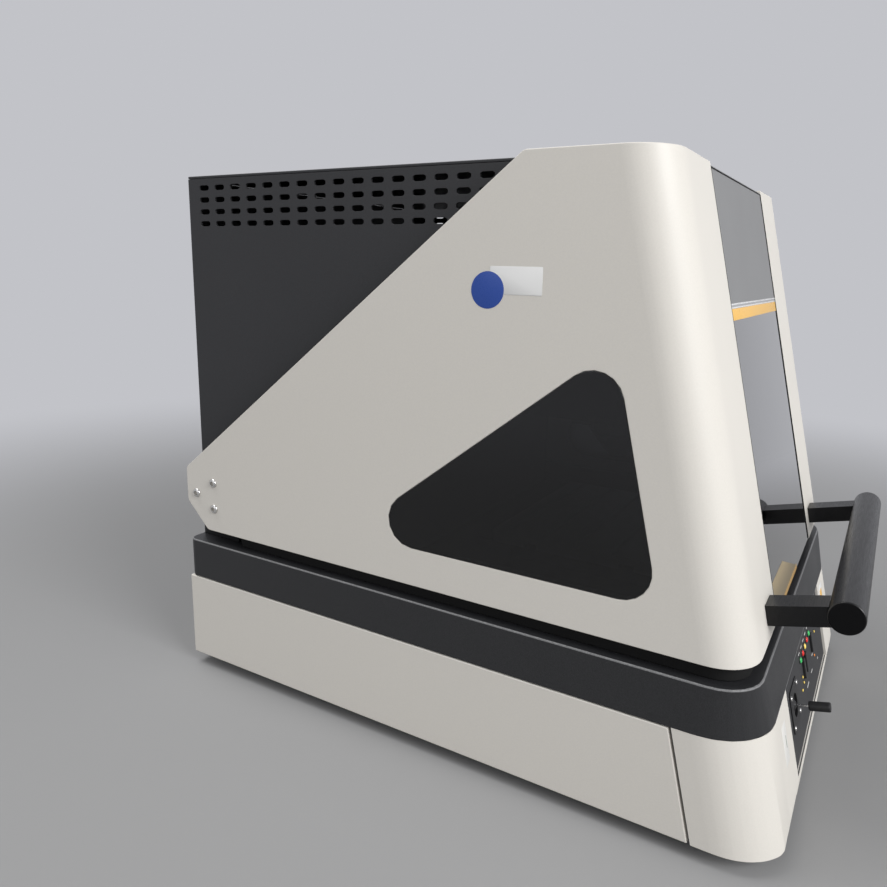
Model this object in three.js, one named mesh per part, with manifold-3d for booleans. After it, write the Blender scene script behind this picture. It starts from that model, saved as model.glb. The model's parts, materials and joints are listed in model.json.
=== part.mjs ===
// Benchtop x-ray fluorescence analyser with a lifting hood, in millimetres, +Z up, front towards -Y.
// The base and its tray stand on four feet, the rear housing and the overhanging head bay stand on the
// tray, and the hood swings on two pivots beside the rear housing.
import * as THREE from "three";
import { mergeVertices } from "three/addons/utils/BufferGeometryUtils.js";
import Module from "manifold-3d";

const wasm = await Module();
wasm.setup();

// Overall form
const BASE_WIDTH = 570;
const HOOD_SIDE_STEP = 5; // from the base's side to the hood's
const HOUSING_SIDE_GAP = 25; // from the hood's side to the housing's
const BODY_DEPTH = 724;
const FOOT_HEIGHT = 16;
const BASE_HEIGHT = 114;
const TRAY_HEIGHT = 50.7;
const HOOD_GAP = 16;
const HOOD_HEIGHT = 446;
const FRONT_Y = -349; // the sloping front at the top of the base
const FRONT_LEAN_SHARE = 0.248; // run of the sloping front for each millimetre of height
const CORNER_RADIUS = 60; // round the base's front corners
const HOOD_CORNER_RADIUS = 42;
const CLEARANCE = 0.3; // between fixed pieces that seat on each other
const CUT_OVERRUN = 5; // how far a cutter runs past the face that it opens

// Base
const PANEL_DEPTH = 8;
const PANEL_SKIN = 3;
const PANEL_SEAM = 2.8; // between a side panel and its corner cover
const PANEL_TOP_GAP = 1.2; // between a side panel and the tray
const COVER_WALL = 5;
const COVER_LENGTH = 81.7;
const COVER_INNER_HALF = 155;
const RIDGE_HEIGHT = 19;
const SILL_HEIGHT = 18;
const PAN_SHEET = 3;
const FOOT_RADIUS = 20;
const FOOT_NECK_RADIUS = 9;
const FOOT_PAD_HEIGHT = 10;
const FOOT_EDGE = 2;
const FOOT_INSET_X = 70;
const FOOT_INSET_Y = 65;

// Tray
const TRAY_WALL = 12;
const TRAY_DECK = 6;
const TRAY_EDGE_RADIUS = 1.5;
const TRAY_CORNER_RADIUS = 42; // round the deck's front corners, tighter than the base's below it
const TRAY_REAR_RADIUS = 12;
const GASKET_WIDTH = 10;

// Hood
const SHELL_WALL = 5;
const SHELL_FLAT_INNER_HALF = 145.7;
const SHELL_TAIL_OVERHANG = 3;
const SHELL_TAIL_CHAMFER = 35;
const SHELL_TAIL_RISE = 80;
const SHELL_CROWN_DEPTH = 132;
const SHELL_CORNER_RADIUS = 9;
const WINDOW_SILL = 43;
const WINDOW_SETBACK = 77;
const WINDOW_BAND = 193;
const WINDOW_RADIUS = 30;
const WINDOW_REBATE = 9;
const WINDOW_REBATE_DEPTH = 3;
const GLASS_RECESS = 1;
const GLASS_THICKNESS = 6;
const FRONT_SHEET = 3;
const FRONT_PANEL_HEIGHT = 132; // the glass takes the rest of the front
const TOP_STEP = 3;
const FRAME_WIDTH = 18;
const FRAME_HEIGHT = 16;
const FRAME_REAR_GAP = 8;

// Hood pivots
const HINGE_INSET = 36;
const HINGE_RISE = 48;
const HINGE_PIN_RADIUS = 8;
const HINGE_BORE_CLEARANCE = 0.3;
const HINGE_PLATE_RADIUS = 32;
const HINGE_BRACKET_SHEET = 6;

// Handle
const BAR_RADIUS = 16;
const BAR_LENGTH = 414;
const BAR_CHAMFER = 1.2;
const ARM_WIDTH = 30;
const ARM_HEIGHT = 20;
const ARM_DROP = 2.4; // of the arm's middle below the bar's
const ARM_INNER_HALF = 167;
const HANDLE_STANDOFF = 69.4;
const HANDLE_FOOT_RISE = 27.3;

// Rear housing and head bay
const HOUSING_SHEET = 3;
const HOUSING_CROWN_GAP = 13; // housing's front top edge behind the hood's crown
const CHAMBER_DEPTH = 445;
const BAY_UNDERSIDE = 219; // above the tray
const BAY_OVERHANG = 281;
const BAY_FRONT_HEIGHT = 170;
const BAY_SHOULDER_DROP = 8;
const BAY_SHEET = 3;
const SLOT_ROWS = 4;
const SLOT_COLUMNS = 16;
const SLOT_LENGTH = 17;
const SLOT_HEIGHT = 6.2;
const SLOT_PITCH_Y = 25.9;
const SLOT_PITCH_Z = 13.9;
const SLOT_INSET_Y = 27;
const SLOT_INSET_Z = 14;

// Fan
const FAN_SIDE = 120;
const FAN_DEPTH = 25;
const FAN_BORE_RADIUS = 57;
const FAN_HUB_RADIUS = 20;
const FAN_BLADE_GAP = 1.5;
const FAN_BLADES = 7;
const FAN_BLADE_THICKNESS = 2.5;
const FAN_STRUT_WIDTH = 6;
const FAN_STRUT_DEPTH = 4;
const FAN_GUARD_SHEET = 2.5;
const FAN_GUARD_RINGS = 4;
const FAN_GUARD_WIRE = 3;
const FAN_OFFSET_X = 120;
const FAN_DROP = 120;

// Mains inlet with its rocker
const INLET_SIDE_INSET = 95;
const INLET_RISE = 58;
const INLET_FLANGE_WIDTH = 62;
const INLET_FLANGE_HEIGHT = 32;
const INLET_FLANGE_DEPTH = 3;
const INLET_BODY_DEPTH = 30;
const INLET_RIM = 3;
const SOCKET_WIDTH = 25;
const SOCKET_HEIGHT = 17;
const SOCKET_DEPTH = 16;
const ROCKER_WIDTH = 14;
const ROCKER_HEIGHT = 20;
const ROCKER_DEPTH = 9;
const ROCKER_SWING_DEG = 8;
const ROCKER_CLEARANCE = 1;

// Sample stage
const STAGE_CENTRE_BEHIND_FRONT = 239; // from the sloping front at the top of the base
const STAGE_WIDTH = 300;
const STAGE_LENGTH = 290;
const STAGE_PLATE = 8;
const RAIL_WIDTH = 16;
const RAIL_HEIGHT = 8;
const RAIL_GAUGE = 180;
const CROSS_GAUGE = 120;
const CARRIAGE_WIDTH = 240;
const CARRIAGE_LENGTH = 180;
const CARRIAGE_THICKNESS = 16;
const TABLE_WIDTH = 260;
const TABLE_LENGTH = 220;
const TABLE_THICKNESS = 16;
const STAGE_RUNNING_GAP = 2;
const TABLE_GROOVES = 5;
const TABLE_GROOVE_WIDTH = 6;
const TABLE_GROOVE_DEPTH = 4;
const STAGE_EDGE = 3;

// Measuring head
const SAMPLE_SPACE = 85;
const NOSE_LENGTH = 40;
const NOSE_TIP_RADIUS = 12;
const NOSE_ROOT_RADIUS = 38;
const NOSE_COLLAR = 8;
const BLOCK_WIDTH = 165;
const BLOCK_LENGTH = 100;
const BLOCK_HEIGHT = 96;
const BLOCK_CHAMFER = 34;
const BLOCK_OFFSET_X = 12;
const SNOUT_RADIUS = 13;
const SNOUT_LENGTH = 30;
const CAMERA_RADIUS = 11;
const CAMERA_LENGTH = 24;
const CAMERA_EDGE = 3;
const TUBE_RADIUS = 36;
const TUBE_FIN_RADIUS = 46;
const TUBE_FINS = 4;
const TUBE_HEIGHT = 118;
const TUBE_CAP = 16;
const CARRIAGE_PLATE_WIDTH = 120;
const CARRIAGE_PLATE_SHEET = 14;
const CARRIAGE_PLATE_HEIGHT = 140;
const HEAD_TRAVEL_DOWN = 60;
const GUIDE_WIDTH = 150;
const GUIDE_DEPTH = 18;
const GUIDE_HEIGHT = 200;
const GUIDE_GROOVE = 5;
const BAY_HOLE_GAP = 8;

// Electronics inside the rear housing
const GENERATOR_WIDTH = 150;
const GENERATOR_LENGTH = 170;
const GENERATOR_HEIGHT = 210;
const SUPPLY_WIDTH = 160;
const SUPPLY_LENGTH = 130;
const SUPPLY_HEIGHT = 70;
const BOARD_SHEET = 3;
const BOARD_WIDTH = 150;
const BOARD_HEIGHT = 180;
const BOARD_CHIP = 26;
const BOARD_CHIP_HEIGHT = 6;
const ELECTRONICS_SPACING = 30;

// Control panel
const CONSOLE_RECESS = 3;
const CONSOLE_SHEET = 3;
const CONSOLE_MARGIN = 2;
const LAMP_COUNT = 5;
const LAMP_PITCH = 19.7;
const LAMP_RADIUS = 3.2;
const LAMP_START_X = -34.5;
const LAMP_RISE = 27;
const LAMP_PROUD = 1;
const LAMP_HOLE_GAP = 0.4;
const PANEL_BOARD_SHEET = 2;
const PANEL_BOARD_BACK = 10;
const PANEL_BOARD_MARGIN = 12;
const KEY_WIDTH = 8;
const KEY_HEIGHT = 24;
const KEY_PROUD = 5;
const KEY_TRAVEL = 2;
const KEY_CORNER = 1.6;
const KEY_HOLE_GAP = 0.5;
const KEY_RISE = 10;
const KEY_PLACES_X = [-18, 0, 57];
const JOYSTICK_X = -103;
const JOYSTICK_RISE = 7;
const BEZEL_WIDTH = 50;
const BEZEL_HEIGHT = 46;
const BEZEL_SHEET = 3;
const BEZEL_CORNER = 5;
const CUP_RADIUS = 15;
const CUP_BORE_RADIUS = 12.5;
const CUP_DEPTH = 21;
const CUP_FLOOR = 2.5;
const PIVOT_DEPTH = 8;
const GIMBAL_RADIUS = 12;
const GIMBAL_BORE_RADIUS = 7.5;
const GIMBAL_HALF_THICKNESS = 4;
const BALL_RADIUS = 7;
const STICK_ROD_RADIUS = 1.6;
const STICK_ROD_OUT = 11;
const KNOB_RADIUS = 5.2;
const KNOB_LENGTH = 21;
const KNOB_EDGE = 0.8;

// Heights and planes that follow from the driving sizes
const BASE_TOP = FOOT_HEIGHT + BASE_HEIGHT;
const TRAY_BOTTOM = BASE_TOP + CLEARANCE;
const DECK_Z = TRAY_BOTTOM + TRAY_HEIGHT;
const HOOD_BOTTOM = DECK_Z + HOOD_GAP;
const HOOD_TOP = HOOD_BOTTOM + HOOD_HEIGHT;
const HOUSING_TOP = HOOD_TOP - TOP_STEP;
const REAR_Y = FRONT_Y + BODY_DEPTH;
const BASE_HALF = BASE_WIDTH / 2;
const HOOD_HALF = BASE_HALF - HOOD_SIDE_STEP;
const HOUSING_HALF = HOOD_HALF - HOUSING_SIDE_GAP;
const INLET_OFFSET_X = INLET_SIDE_INSET - BASE_HALF;
const LEAN_ANGLE = Math.atan(FRONT_LEAN_SHARE);
const frontAt = (z) => FRONT_Y + FRONT_LEAN_SHARE * (z - BASE_TOP);
const HINGE = new THREE.Vector2(REAR_Y - HINGE_INSET, HOOD_BOTTOM + HINGE_RISE);
const CHAMBER_REAR_Y = FRONT_Y + CHAMBER_DEPTH;
const CROWN_REAR_Y = frontAt(HOOD_TOP) + SHELL_CROWN_DEPTH;
const SIDES = { left: -1, right: 1 };

// Finishes, as seen in daylight
const finish = (color, roughness, metalness = 0) => ({ color, roughness, metalness });
const FINISHES = {
  pale_shell: finish(0xe2ded6, 0.5),
  dark_case: finish(0x343538, 0.65),
  front_grey: finish(0x6d6e6e, 0.6),
  black_metal: finish(0x161616, 0.45, 0.3),
  tinted_glass: finish(0x2a2b2d, 0.1),
  rubber: finish(0x101010, 0.85),
  steel: finish(0xb9bbbd, 0.35, 0.9),
  alloy: finish(0xc6c8ca, 0.4, 0.8),
  board_green: finish(0x1f5a37, 0.6),
  black_plastic: finish(0x18181a, 0.55),
};

// Mesh helpers

function mesh(name, geometry, finishName, parent) {
  const made = new THREE.Mesh(geometry, new THREE.MeshStandardMaterial(FINISHES[finishName]));
  made.name = name;
  parent.add(made);
  return made;
}

function solid(geometry) {
  const bare = geometry.clone();
  bare.deleteAttribute("normal");
  bare.deleteAttribute("uv");
  const merged = mergeVertices(bare, 1e-4);
  const vertProperties = new Float32Array(merged.attributes.position.array);
  const triVerts = new Uint32Array(merged.index.array);
  return new wasm.Manifold(new wasm.Mesh({ numProp: 3, vertProperties, triVerts }));
}

function geometryOf(body) {
  const made = body.getMesh();
  const places = new Float32Array(made.numVert * 3);
  for (let i = 0; i < made.numVert; i++) {
    const start = i * made.numProp;
    places.set(made.vertProperties.subarray(start, start + 3), i * 3);
  }
  const geometry = new THREE.BufferGeometry();
  geometry.setAttribute("position", new THREE.BufferAttribute(places, 3));
  geometry.setIndex(new THREE.BufferAttribute(made.triVerts, 1));
  return geometry;
}

function cut(body, ...cutters) {
  return geometryOf(cutters.reduce((left, cutter) => left.subtract(solid(cutter)), solid(body)));
}

function join(body, ...others) {
  return geometryOf(others.reduce((sum, other) => sum.add(solid(other)), solid(body)));
}

function common(body, other) {
  return geometryOf(solid(body).intersect(solid(other)));
}

function block(x0, x1, y0, y1, z0, z1) {
  const geometry = new THREE.BoxGeometry(x1 - x0, y1 - y0, z1 - z0);
  return geometry.translate((x0 + x1) / 2, (y0 + y1) / 2, (z0 + z1) / 2);
}

// A cylinder whose axis runs along one named axis, centred on the given point.
function rod(axis, radius, length, x, y, z, steps = 24) {
  const geometry = new THREE.CylinderGeometry(radius, radius, length, steps);
  if (axis === "x") geometry.rotateZ(Math.PI / 2);
  if (axis === "z") geometry.rotateX(Math.PI / 2);
  return geometry.translate(x, y, z);
}

// A closed profile of [radius, height] pairs turned round a vertical axis through the given point.
function turned(profile, x, y, z, steps = 32) {
  const points = profile.map(([radius, height]) => new THREE.Vector2(radius, height));
  const geometry = new THREE.LatheGeometry(points, steps).rotateX(Math.PI / 2);
  return geometry.translate(x, y, z);
}

// An outline's corners, each rounded with its own radius, as points.
function rounded(corners, radii, steps = 6) {
  const points = [];
  corners.forEach((corner, i) => {
    const radius = Array.isArray(radii) ? radii[i] : radii;
    if (radius <= 0) {
      points.push(corner.clone());
      return;
    }
    const before = corners[(i + corners.length - 1) % corners.length].clone().sub(corner).normalize();
    const after = corners[(i + 1) % corners.length].clone().sub(corner).normalize();
    const half = Math.acos(THREE.MathUtils.clamp(before.dot(after), -1, 1)) / 2;
    const centre = before.clone().add(after).normalize().multiplyScalar(radius / Math.sin(half)).add(corner);
    const start = before.clone().multiplyScalar(radius / Math.tan(half)).add(corner).sub(centre);
    const end = after.clone().multiplyScalar(radius / Math.tan(half)).add(corner).sub(centre);
    const sweep = Math.atan2(start.cross(end), start.dot(end));
    for (let step = 0; step <= steps; step++) {
      const turn = (sweep * step) / steps;
      points.push(start.clone().rotateAround(new THREE.Vector2(), turn).add(centre));
    }
  });
  return points;
}

// A convex outline drawn in by the same distance on every side; its corners run counter-clockwise.
function drawnIn(corners, distance) {
  const lines = corners.map((from, i) => {
    const along = corners[(i + 1) % corners.length].clone().sub(from).normalize();
    const inward = new THREE.Vector2(-along.y, along.x).multiplyScalar(distance);
    return { point: from.clone().add(inward), along };
  });
  return lines.map((line, i) => crossing(lines[(i + lines.length - 1) % lines.length], line));
}

function crossing(first, second) {
  const between = second.point.clone().sub(first.point);
  const reach = between.cross(second.along) / first.along.cross(second.along);
  return first.point.clone().addScaledVector(first.along, reach);
}

// The outline of a sheet folded along the given points, its thickness on the right of their direction.
function foldedSheet(points, thickness) {
  const lines = points.slice(1).map((to, i) => {
    const along = to.clone().sub(points[i]).normalize();
    const across = new THREE.Vector2(along.y, -along.x).multiplyScalar(thickness);
    return { point: points[i].clone().add(across), along };
  });
  const last = lines[lines.length - 1];
  const lining = [lines[0].point];
  for (let i = 1; i < lines.length; i++) lining.push(crossing(lines[i - 1], lines[i]));
  const reach = points[points.length - 1].distanceTo(points[points.length - 2]);
  lining.push(last.point.clone().addScaledVector(last.along, reach));
  return [...points, ...lining.reverse()];
}

function ringPoints(centreA, centreB, radius, steps) {
  return Array.from({ length: steps }, (_, i) => {
    const turn = (2 * Math.PI * i) / steps;
    return new THREE.Vector2(centreA + radius * Math.cos(turn), centreB + radius * Math.sin(turn));
  });
}

// A slot with half-round ends, its length along the first axis.
function slotPoints(centreA, centreB, length, height, steps) {
  const reach = (length - height) / 2;
  const points = [];
  for (const end of [1, -1]) {
    for (let i = 0; i <= steps; i++) {
      const turn = Math.PI * (i / steps - 1 / 2);
      const radius = (end * height) / 2;
      const tip = at(centreA + end * reach, centreB);
      points.push(tip.add(at(radius * Math.cos(turn), radius * Math.sin(turn))));
    }
  }
  return points;
}

function plate(outline, depth, holes = []) {
  const shape = new THREE.Shape(outline);
  shape.holes = holes.map((points) => new THREE.Path(points));
  return new THREE.ExtrudeGeometry(shape, { depth, bevelEnabled: false, steps: 1 });
}

const AXES = {
  x: new THREE.Vector3(1, 0, 0),
  y: new THREE.Vector3(0, 1, 0),
  z: new THREE.Vector3(0, 0, 1),
};

// A side outline of (y, z) points made as thick as the span from x0 to x1.
function acrossX(outline, x0, x1, holes = []) {
  const geometry = plate(outline, x1 - x0, holes);
  geometry.applyMatrix4(new THREE.Matrix4().makeBasis(AXES.y, AXES.z, AXES.x));
  return geometry.translate(x0, 0, 0);
}

// A front outline of (x, z) points made as deep as the span from y0 to y1.
function acrossY(outline, y0, y1, holes = []) {
  const geometry = plate(outline, y1 - y0, holes);
  geometry.applyMatrix4(new THREE.Matrix4().makeBasis(AXES.x, AXES.z, AXES.y.clone().negate()));
  return geometry.translate(0, y1, 0);
}

// A plan outline of (x, y) points made as high as the span from z0 to z1.
function acrossZ(outline, z0, z1, holes = []) {
  return plate(outline, z1 - z0, holes).translate(0, 0, z0);
}

// A plan outline of (x, distance behind the sloping front) points, raised from z0 to z1 along the slope.
function leaning(outline, z0, z1) {
  const geometry = acrossZ(outline, z0, z1);
  const lean = new THREE.Matrix4().set(
    1, 0, 0, 0,
    0, 1, FRONT_LEAN_SHARE, frontAt(0),
    0, 0, 1, 0,
    0, 0, 0, 1,
  );
  return geometry.applyMatrix4(lean);
}

// Stacked plan outlines with equal point counts, joined into one closed skin.
function loft(sections) {
  const count = sections[0].length;
  const places = sections.flat().flatMap((point) => [point.x, point.y, point.z]);
  const faces = [];
  for (let level = 0; level + 1 < sections.length; level++) {
    for (let i = 0; i < count; i++) {
      const a = level * count + i;
      const b = level * count + ((i + 1) % count);
      faces.push(a, b, b + count, a, b + count, a + count);
    }
  }
  const top = (sections.length - 1) * count;
  const flat = sections[0].map((point) => new THREE.Vector2(point.x, point.y));
  for (const [a, b, c] of THREE.ShapeUtils.triangulateShape(flat, [])) {
    faces.push(c, b, a, top + a, top + b, top + c);
  }
  const geometry = new THREE.BufferGeometry();
  geometry.setAttribute("position", new THREE.Float32BufferAttribute(places, 3));
  geometry.setIndex(faces);
  return geometry;
}

const at = (a, b) => new THREE.Vector2(a, b);

function rectangle(halfA, halfB, centreA = 0, centreB = 0) {
  return [
    at(centreA - halfA, centreB - halfB),
    at(centreA + halfA, centreB - halfB),
    at(centreA + halfA, centreB + halfB),
    at(centreA - halfA, centreB + halfB),
  ];
}

// The base's plan at one height, drawn in by an inset: square at the rear, well rounded at the front.
function basePlan(z, inset, cornerRadius = CORNER_RADIUS) {
  const half = BASE_HALF - inset;
  const front = frontAt(z) + inset;
  const rear = REAR_Y - inset;
  const corners = [at(-half, front), at(half, front), at(half, rear), at(-half, rear)];
  const frontRadius = cornerRadius - inset;
  const rearRadius = Math.max(TRAY_REAR_RADIUS - inset, 0);
  const radii = [frontRadius, frontRadius, rearRadius, rearRadius];
  return rounded(corners, radii).map((point) => new THREE.Vector3(point.x, point.y, z));
}

// One side's half of a wall that follows the sloping front and its rounded corner: from an inner edge,
// round the corner, and back along the side. Points are (x, distance behind the front).
function cornerWall(side, outerHalf, innerHalf, wall, radius, length) {
  const corners = [
    at(side * innerHalf, 0),
    at(side * outerHalf, 0),
    at(side * outerHalf, length),
    at(side * (outerHalf - wall), length),
    at(side * (outerHalf - wall), wall),
    at(side * innerHalf, wall),
  ];
  return rounded(corners, [0, radius, 0, 0, radius - wall, 0], 8);
}

// A band of one width that runs up one side, across the front and down the other side.
function frontLoop(outerHalf, front, width, length, radius) {
  const corners = [
    at(-outerHalf, length),
    at(-outerHalf, front),
    at(outerHalf, front),
    at(outerHalf, length),
    at(outerHalf - width, length),
    at(outerHalf - width, front + width),
    at(width - outerHalf, front + width),
    at(width - outerHalf, length),
  ];
  const inner = Math.max(radius - width, 0);
  return rounded(corners, [0, radius, radius, 0, 0, inner, inner, 0]);
}

const part = new THREE.Group();

// Base: a steel pan, pale side and rear panels, two rounded corner covers and the sill between them

function buildBase() {
  const panInset = PANEL_DEPTH + CLEARANCE;
  const panOuter = loft([basePlan(FOOT_HEIGHT, panInset), basePlan(BASE_TOP, panInset)]);
  const innerInset = panInset + PAN_SHEET;
  const panFloor = FOOT_HEIGHT + PAN_SHEET;
  const panInner = loft([basePlan(panFloor, innerInset), basePlan(BASE_TOP + CUT_OVERRUN, innerInset)]);
  const frontOpening = block(
    PAN_SHEET - COVER_INNER_HALF,
    COVER_INNER_HALF - PAN_SHEET,
    frontAt(FOOT_HEIGHT) - CUT_OVERRUN,
    frontAt(BASE_TOP) + COVER_LENGTH,
    panFloor,
    BASE_TOP + CUT_OVERRUN,
  );
  const inletOpening = block(
    INLET_OFFSET_X - INLET_FLANGE_WIDTH / 2,
    INLET_OFFSET_X + INLET_FLANGE_WIDTH / 2,
    REAR_Y - INLET_BODY_DEPTH,
    REAR_Y,
    FOOT_HEIGHT + INLET_RISE - INLET_FLANGE_HEIGHT / 2,
    FOOT_HEIGHT + INLET_RISE + INLET_FLANGE_HEIGHT / 2,
  );
  mesh("base_pan", cut(panOuter, panInner, frontOpening, inletOpening), "steel", part);

  const panelTop = BASE_TOP - PANEL_TOP_GAP;
  const seam = COVER_LENGTH + PANEL_SEAM;
  const sideOutline = [
    at(frontAt(FOOT_HEIGHT) + seam, FOOT_HEIGHT),
    at(REAR_Y, FOOT_HEIGHT),
    at(REAR_Y, panelTop),
    at(frontAt(panelTop) + seam, panelTop),
  ];
  for (const [name, side] of Object.entries(SIDES)) {
    const outer = side * BASE_HALF;
    const inner = side * (BASE_HALF - PANEL_DEPTH);
    const pocketOuter = side * (BASE_HALF - PANEL_SKIN);
    const pocketInner = side * (BASE_HALF - PANEL_DEPTH - CUT_OVERRUN);
    const skin = acrossX(sideOutline, Math.min(outer, inner), Math.max(outer, inner));
    const pocket = acrossX(
      drawnIn(sideOutline, PANEL_SKIN),
      Math.min(pocketOuter, pocketInner),
      Math.max(pocketOuter, pocketInner),
    );
    mesh("base_panel_" + name, cut(skin, pocket), "pale_shell", part);
  }

  const rearHalf = BASE_HALF - PANEL_DEPTH - CLEARANCE;
  const rearOutline = rectangle(rearHalf, BASE_HEIGHT / 2, 0, FOOT_HEIGHT + BASE_HEIGHT / 2);
  const inletHole = rectangle(
    INLET_FLANGE_WIDTH / 2 - INLET_RIM,
    INLET_FLANGE_HEIGHT / 2 - INLET_RIM,
    INLET_OFFSET_X,
    FOOT_HEIGHT + INLET_RISE,
  );
  const rearSkin = acrossY(rearOutline, REAR_Y - PANEL_DEPTH, REAR_Y, [inletHole]);
  const rearPocket = acrossY(
    drawnIn(rearOutline, PANEL_SKIN),
    REAR_Y - PANEL_DEPTH - CUT_OVERRUN,
    REAR_Y - PANEL_SKIN,
  );
  mesh("base_panel_rear", cut(rearSkin, rearPocket), "pale_shell", part);

  const ridgeTop = FOOT_HEIGHT + RIDGE_HEIGHT;
  const belowRidge = block(
    -BASE_WIDTH,
    BASE_WIDTH,
    frontAt(FOOT_HEIGHT) - CUT_OVERRUN,
    frontAt(ridgeTop),
    FOOT_HEIGHT - CUT_OVERRUN,
    ridgeTop,
  );
  for (const [name, side] of Object.entries(SIDES)) {
    const wall = cornerWall(side, BASE_HALF, COVER_INNER_HALF, COVER_WALL, CORNER_RADIUS, COVER_LENGTH);
    mesh("corner_cover_" + name, cut(leaning(wall, FOOT_HEIGHT, BASE_TOP), belowRidge), "pale_shell", part);
  }

  const sillHalf = COVER_INNER_HALF - CLEARANCE;
  const sill = [at(-sillHalf, 0), at(sillHalf, 0), at(sillHalf, PANEL_DEPTH), at(-sillHalf, PANEL_DEPTH)];
  const sillTop = FOOT_HEIGHT + SILL_HEIGHT;
  mesh("front_sill", cut(leaning(sill, FOOT_HEIGHT, sillTop), belowRidge), "pale_shell", part);

  const footProfile = [
    [0, 0],
    [FOOT_RADIUS - FOOT_EDGE, 0],
    [FOOT_RADIUS, FOOT_EDGE],
    [FOOT_RADIUS - FOOT_EDGE, FOOT_PAD_HEIGHT],
    [FOOT_NECK_RADIUS, FOOT_PAD_HEIGHT],
    [FOOT_NECK_RADIUS, FOOT_HEIGHT],
    [0, FOOT_HEIGHT],
  ];
  const rows = { front: frontAt(FOOT_HEIGHT) + FOOT_INSET_Y, rear: REAR_Y - FOOT_INSET_Y };
  for (const [row, y] of Object.entries(rows)) {
    for (const [name, side] of Object.entries(SIDES)) {
      const x = side * (BASE_HALF - FOOT_INSET_X);
      mesh(`foot_${row}_${name}`, turned(footProfile, x, y, 0, 20), "rubber", part);
    }
  }
}

// Tray: a dark casting whose front corners tighten towards the deck, and the rubber seal on it

function buildTray() {
  const edge = TRAY_EDGE_RADIUS;
  const sections = [basePlan(TRAY_BOTTOM, 0)];
  const edgeSteps = 2;
  for (let step = 0; step <= edgeSteps; step++) {
    const turn = (Math.PI / 2) * (step / edgeSteps);
    const height = DECK_Z - edge + edge * Math.sin(turn);
    sections.push(basePlan(height, edge - edge * Math.cos(turn), TRAY_CORNER_RADIUS));
  }
  const pocket = loft([
    basePlan(TRAY_BOTTOM - CUT_OVERRUN, TRAY_WALL),
    basePlan(DECK_Z - TRAY_DECK, TRAY_WALL, TRAY_CORNER_RADIUS),
  ]);
  mesh("deck_tray", cut(loft(sections), pocket), "dark_case", part);

  const frame = hoodFrameSizes();
  const margin = (FRAME_WIDTH - GASKET_WIDTH) / 2;
  const loop = frontLoop(
    frame.outerHalf - margin,
    frame.front + margin,
    GASKET_WIDTH,
    frame.length,
    frame.radius - margin,
  );
  mesh("chamber_gasket", leaning(loop, DECK_Z, HOOD_BOTTOM - CLEARANCE), "rubber", part);
}

// Hood: two pale shells, glass front, dark front and top panels, side windows, frame and handle

const hood = new THREE.Group();
part.add(hood);

function hoodFrameSizes() {
  const outerHalf = HOOD_HALF - SHELL_WALL - CLEARANCE;
  const front = GLASS_RECESS + GLASS_THICKNESS + CLEARANCE;
  const bracketFront = HINGE.x - HINGE_PLATE_RADIUS;
  const length = bracketFront - FRAME_REAR_GAP - frontAt(HOOD_BOTTOM + FRAME_HEIGHT);
  return { outerHalf, front, length, radius: HOOD_CORNER_RADIUS - SHELL_WALL - CLEARANCE };
}

function shellOutline() {
  const reach = HOOD_CORNER_RADIUS;
  const tailY = REAR_Y + SHELL_TAIL_OVERHANG;
  const corners = [
    at(frontAt(HOOD_BOTTOM) - reach, HOOD_BOTTOM),
    at(tailY - SHELL_TAIL_CHAMFER, HOOD_BOTTOM),
    at(tailY, HOOD_BOTTOM + SHELL_TAIL_CHAMFER),
    at(tailY, HOOD_BOTTOM + SHELL_TAIL_RISE),
    at(CROWN_REAR_Y, HOOD_TOP),
    at(frontAt(HOOD_TOP) - reach, HOOD_TOP),
  ];
  return corners;
}

// The window's three sharp corners: a level sill, an edge parallel to the sloping front, and an edge
// parallel to the shell's long diagonal.
function windowCorners() {
  const outline = shellOutline();
  const diagonal = outline[4].clone().sub(outline[3]).normalize();
  const inward = new THREE.Vector2(-diagonal.y, diagonal.x).multiplyScalar(WINDOW_BAND);
  const sill = { point: at(0, HOOD_BOTTOM + WINDOW_SILL), along: at(1, 0) };
  const front = { point: at(frontAt(0) + WINDOW_SETBACK, 0), along: at(FRONT_LEAN_SHARE, 1) };
  const upper = { point: outline[3].clone().add(inward), along: diagonal };
  return [crossing(front, sill), crossing(sill, upper), crossing(upper, front)];
}

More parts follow.
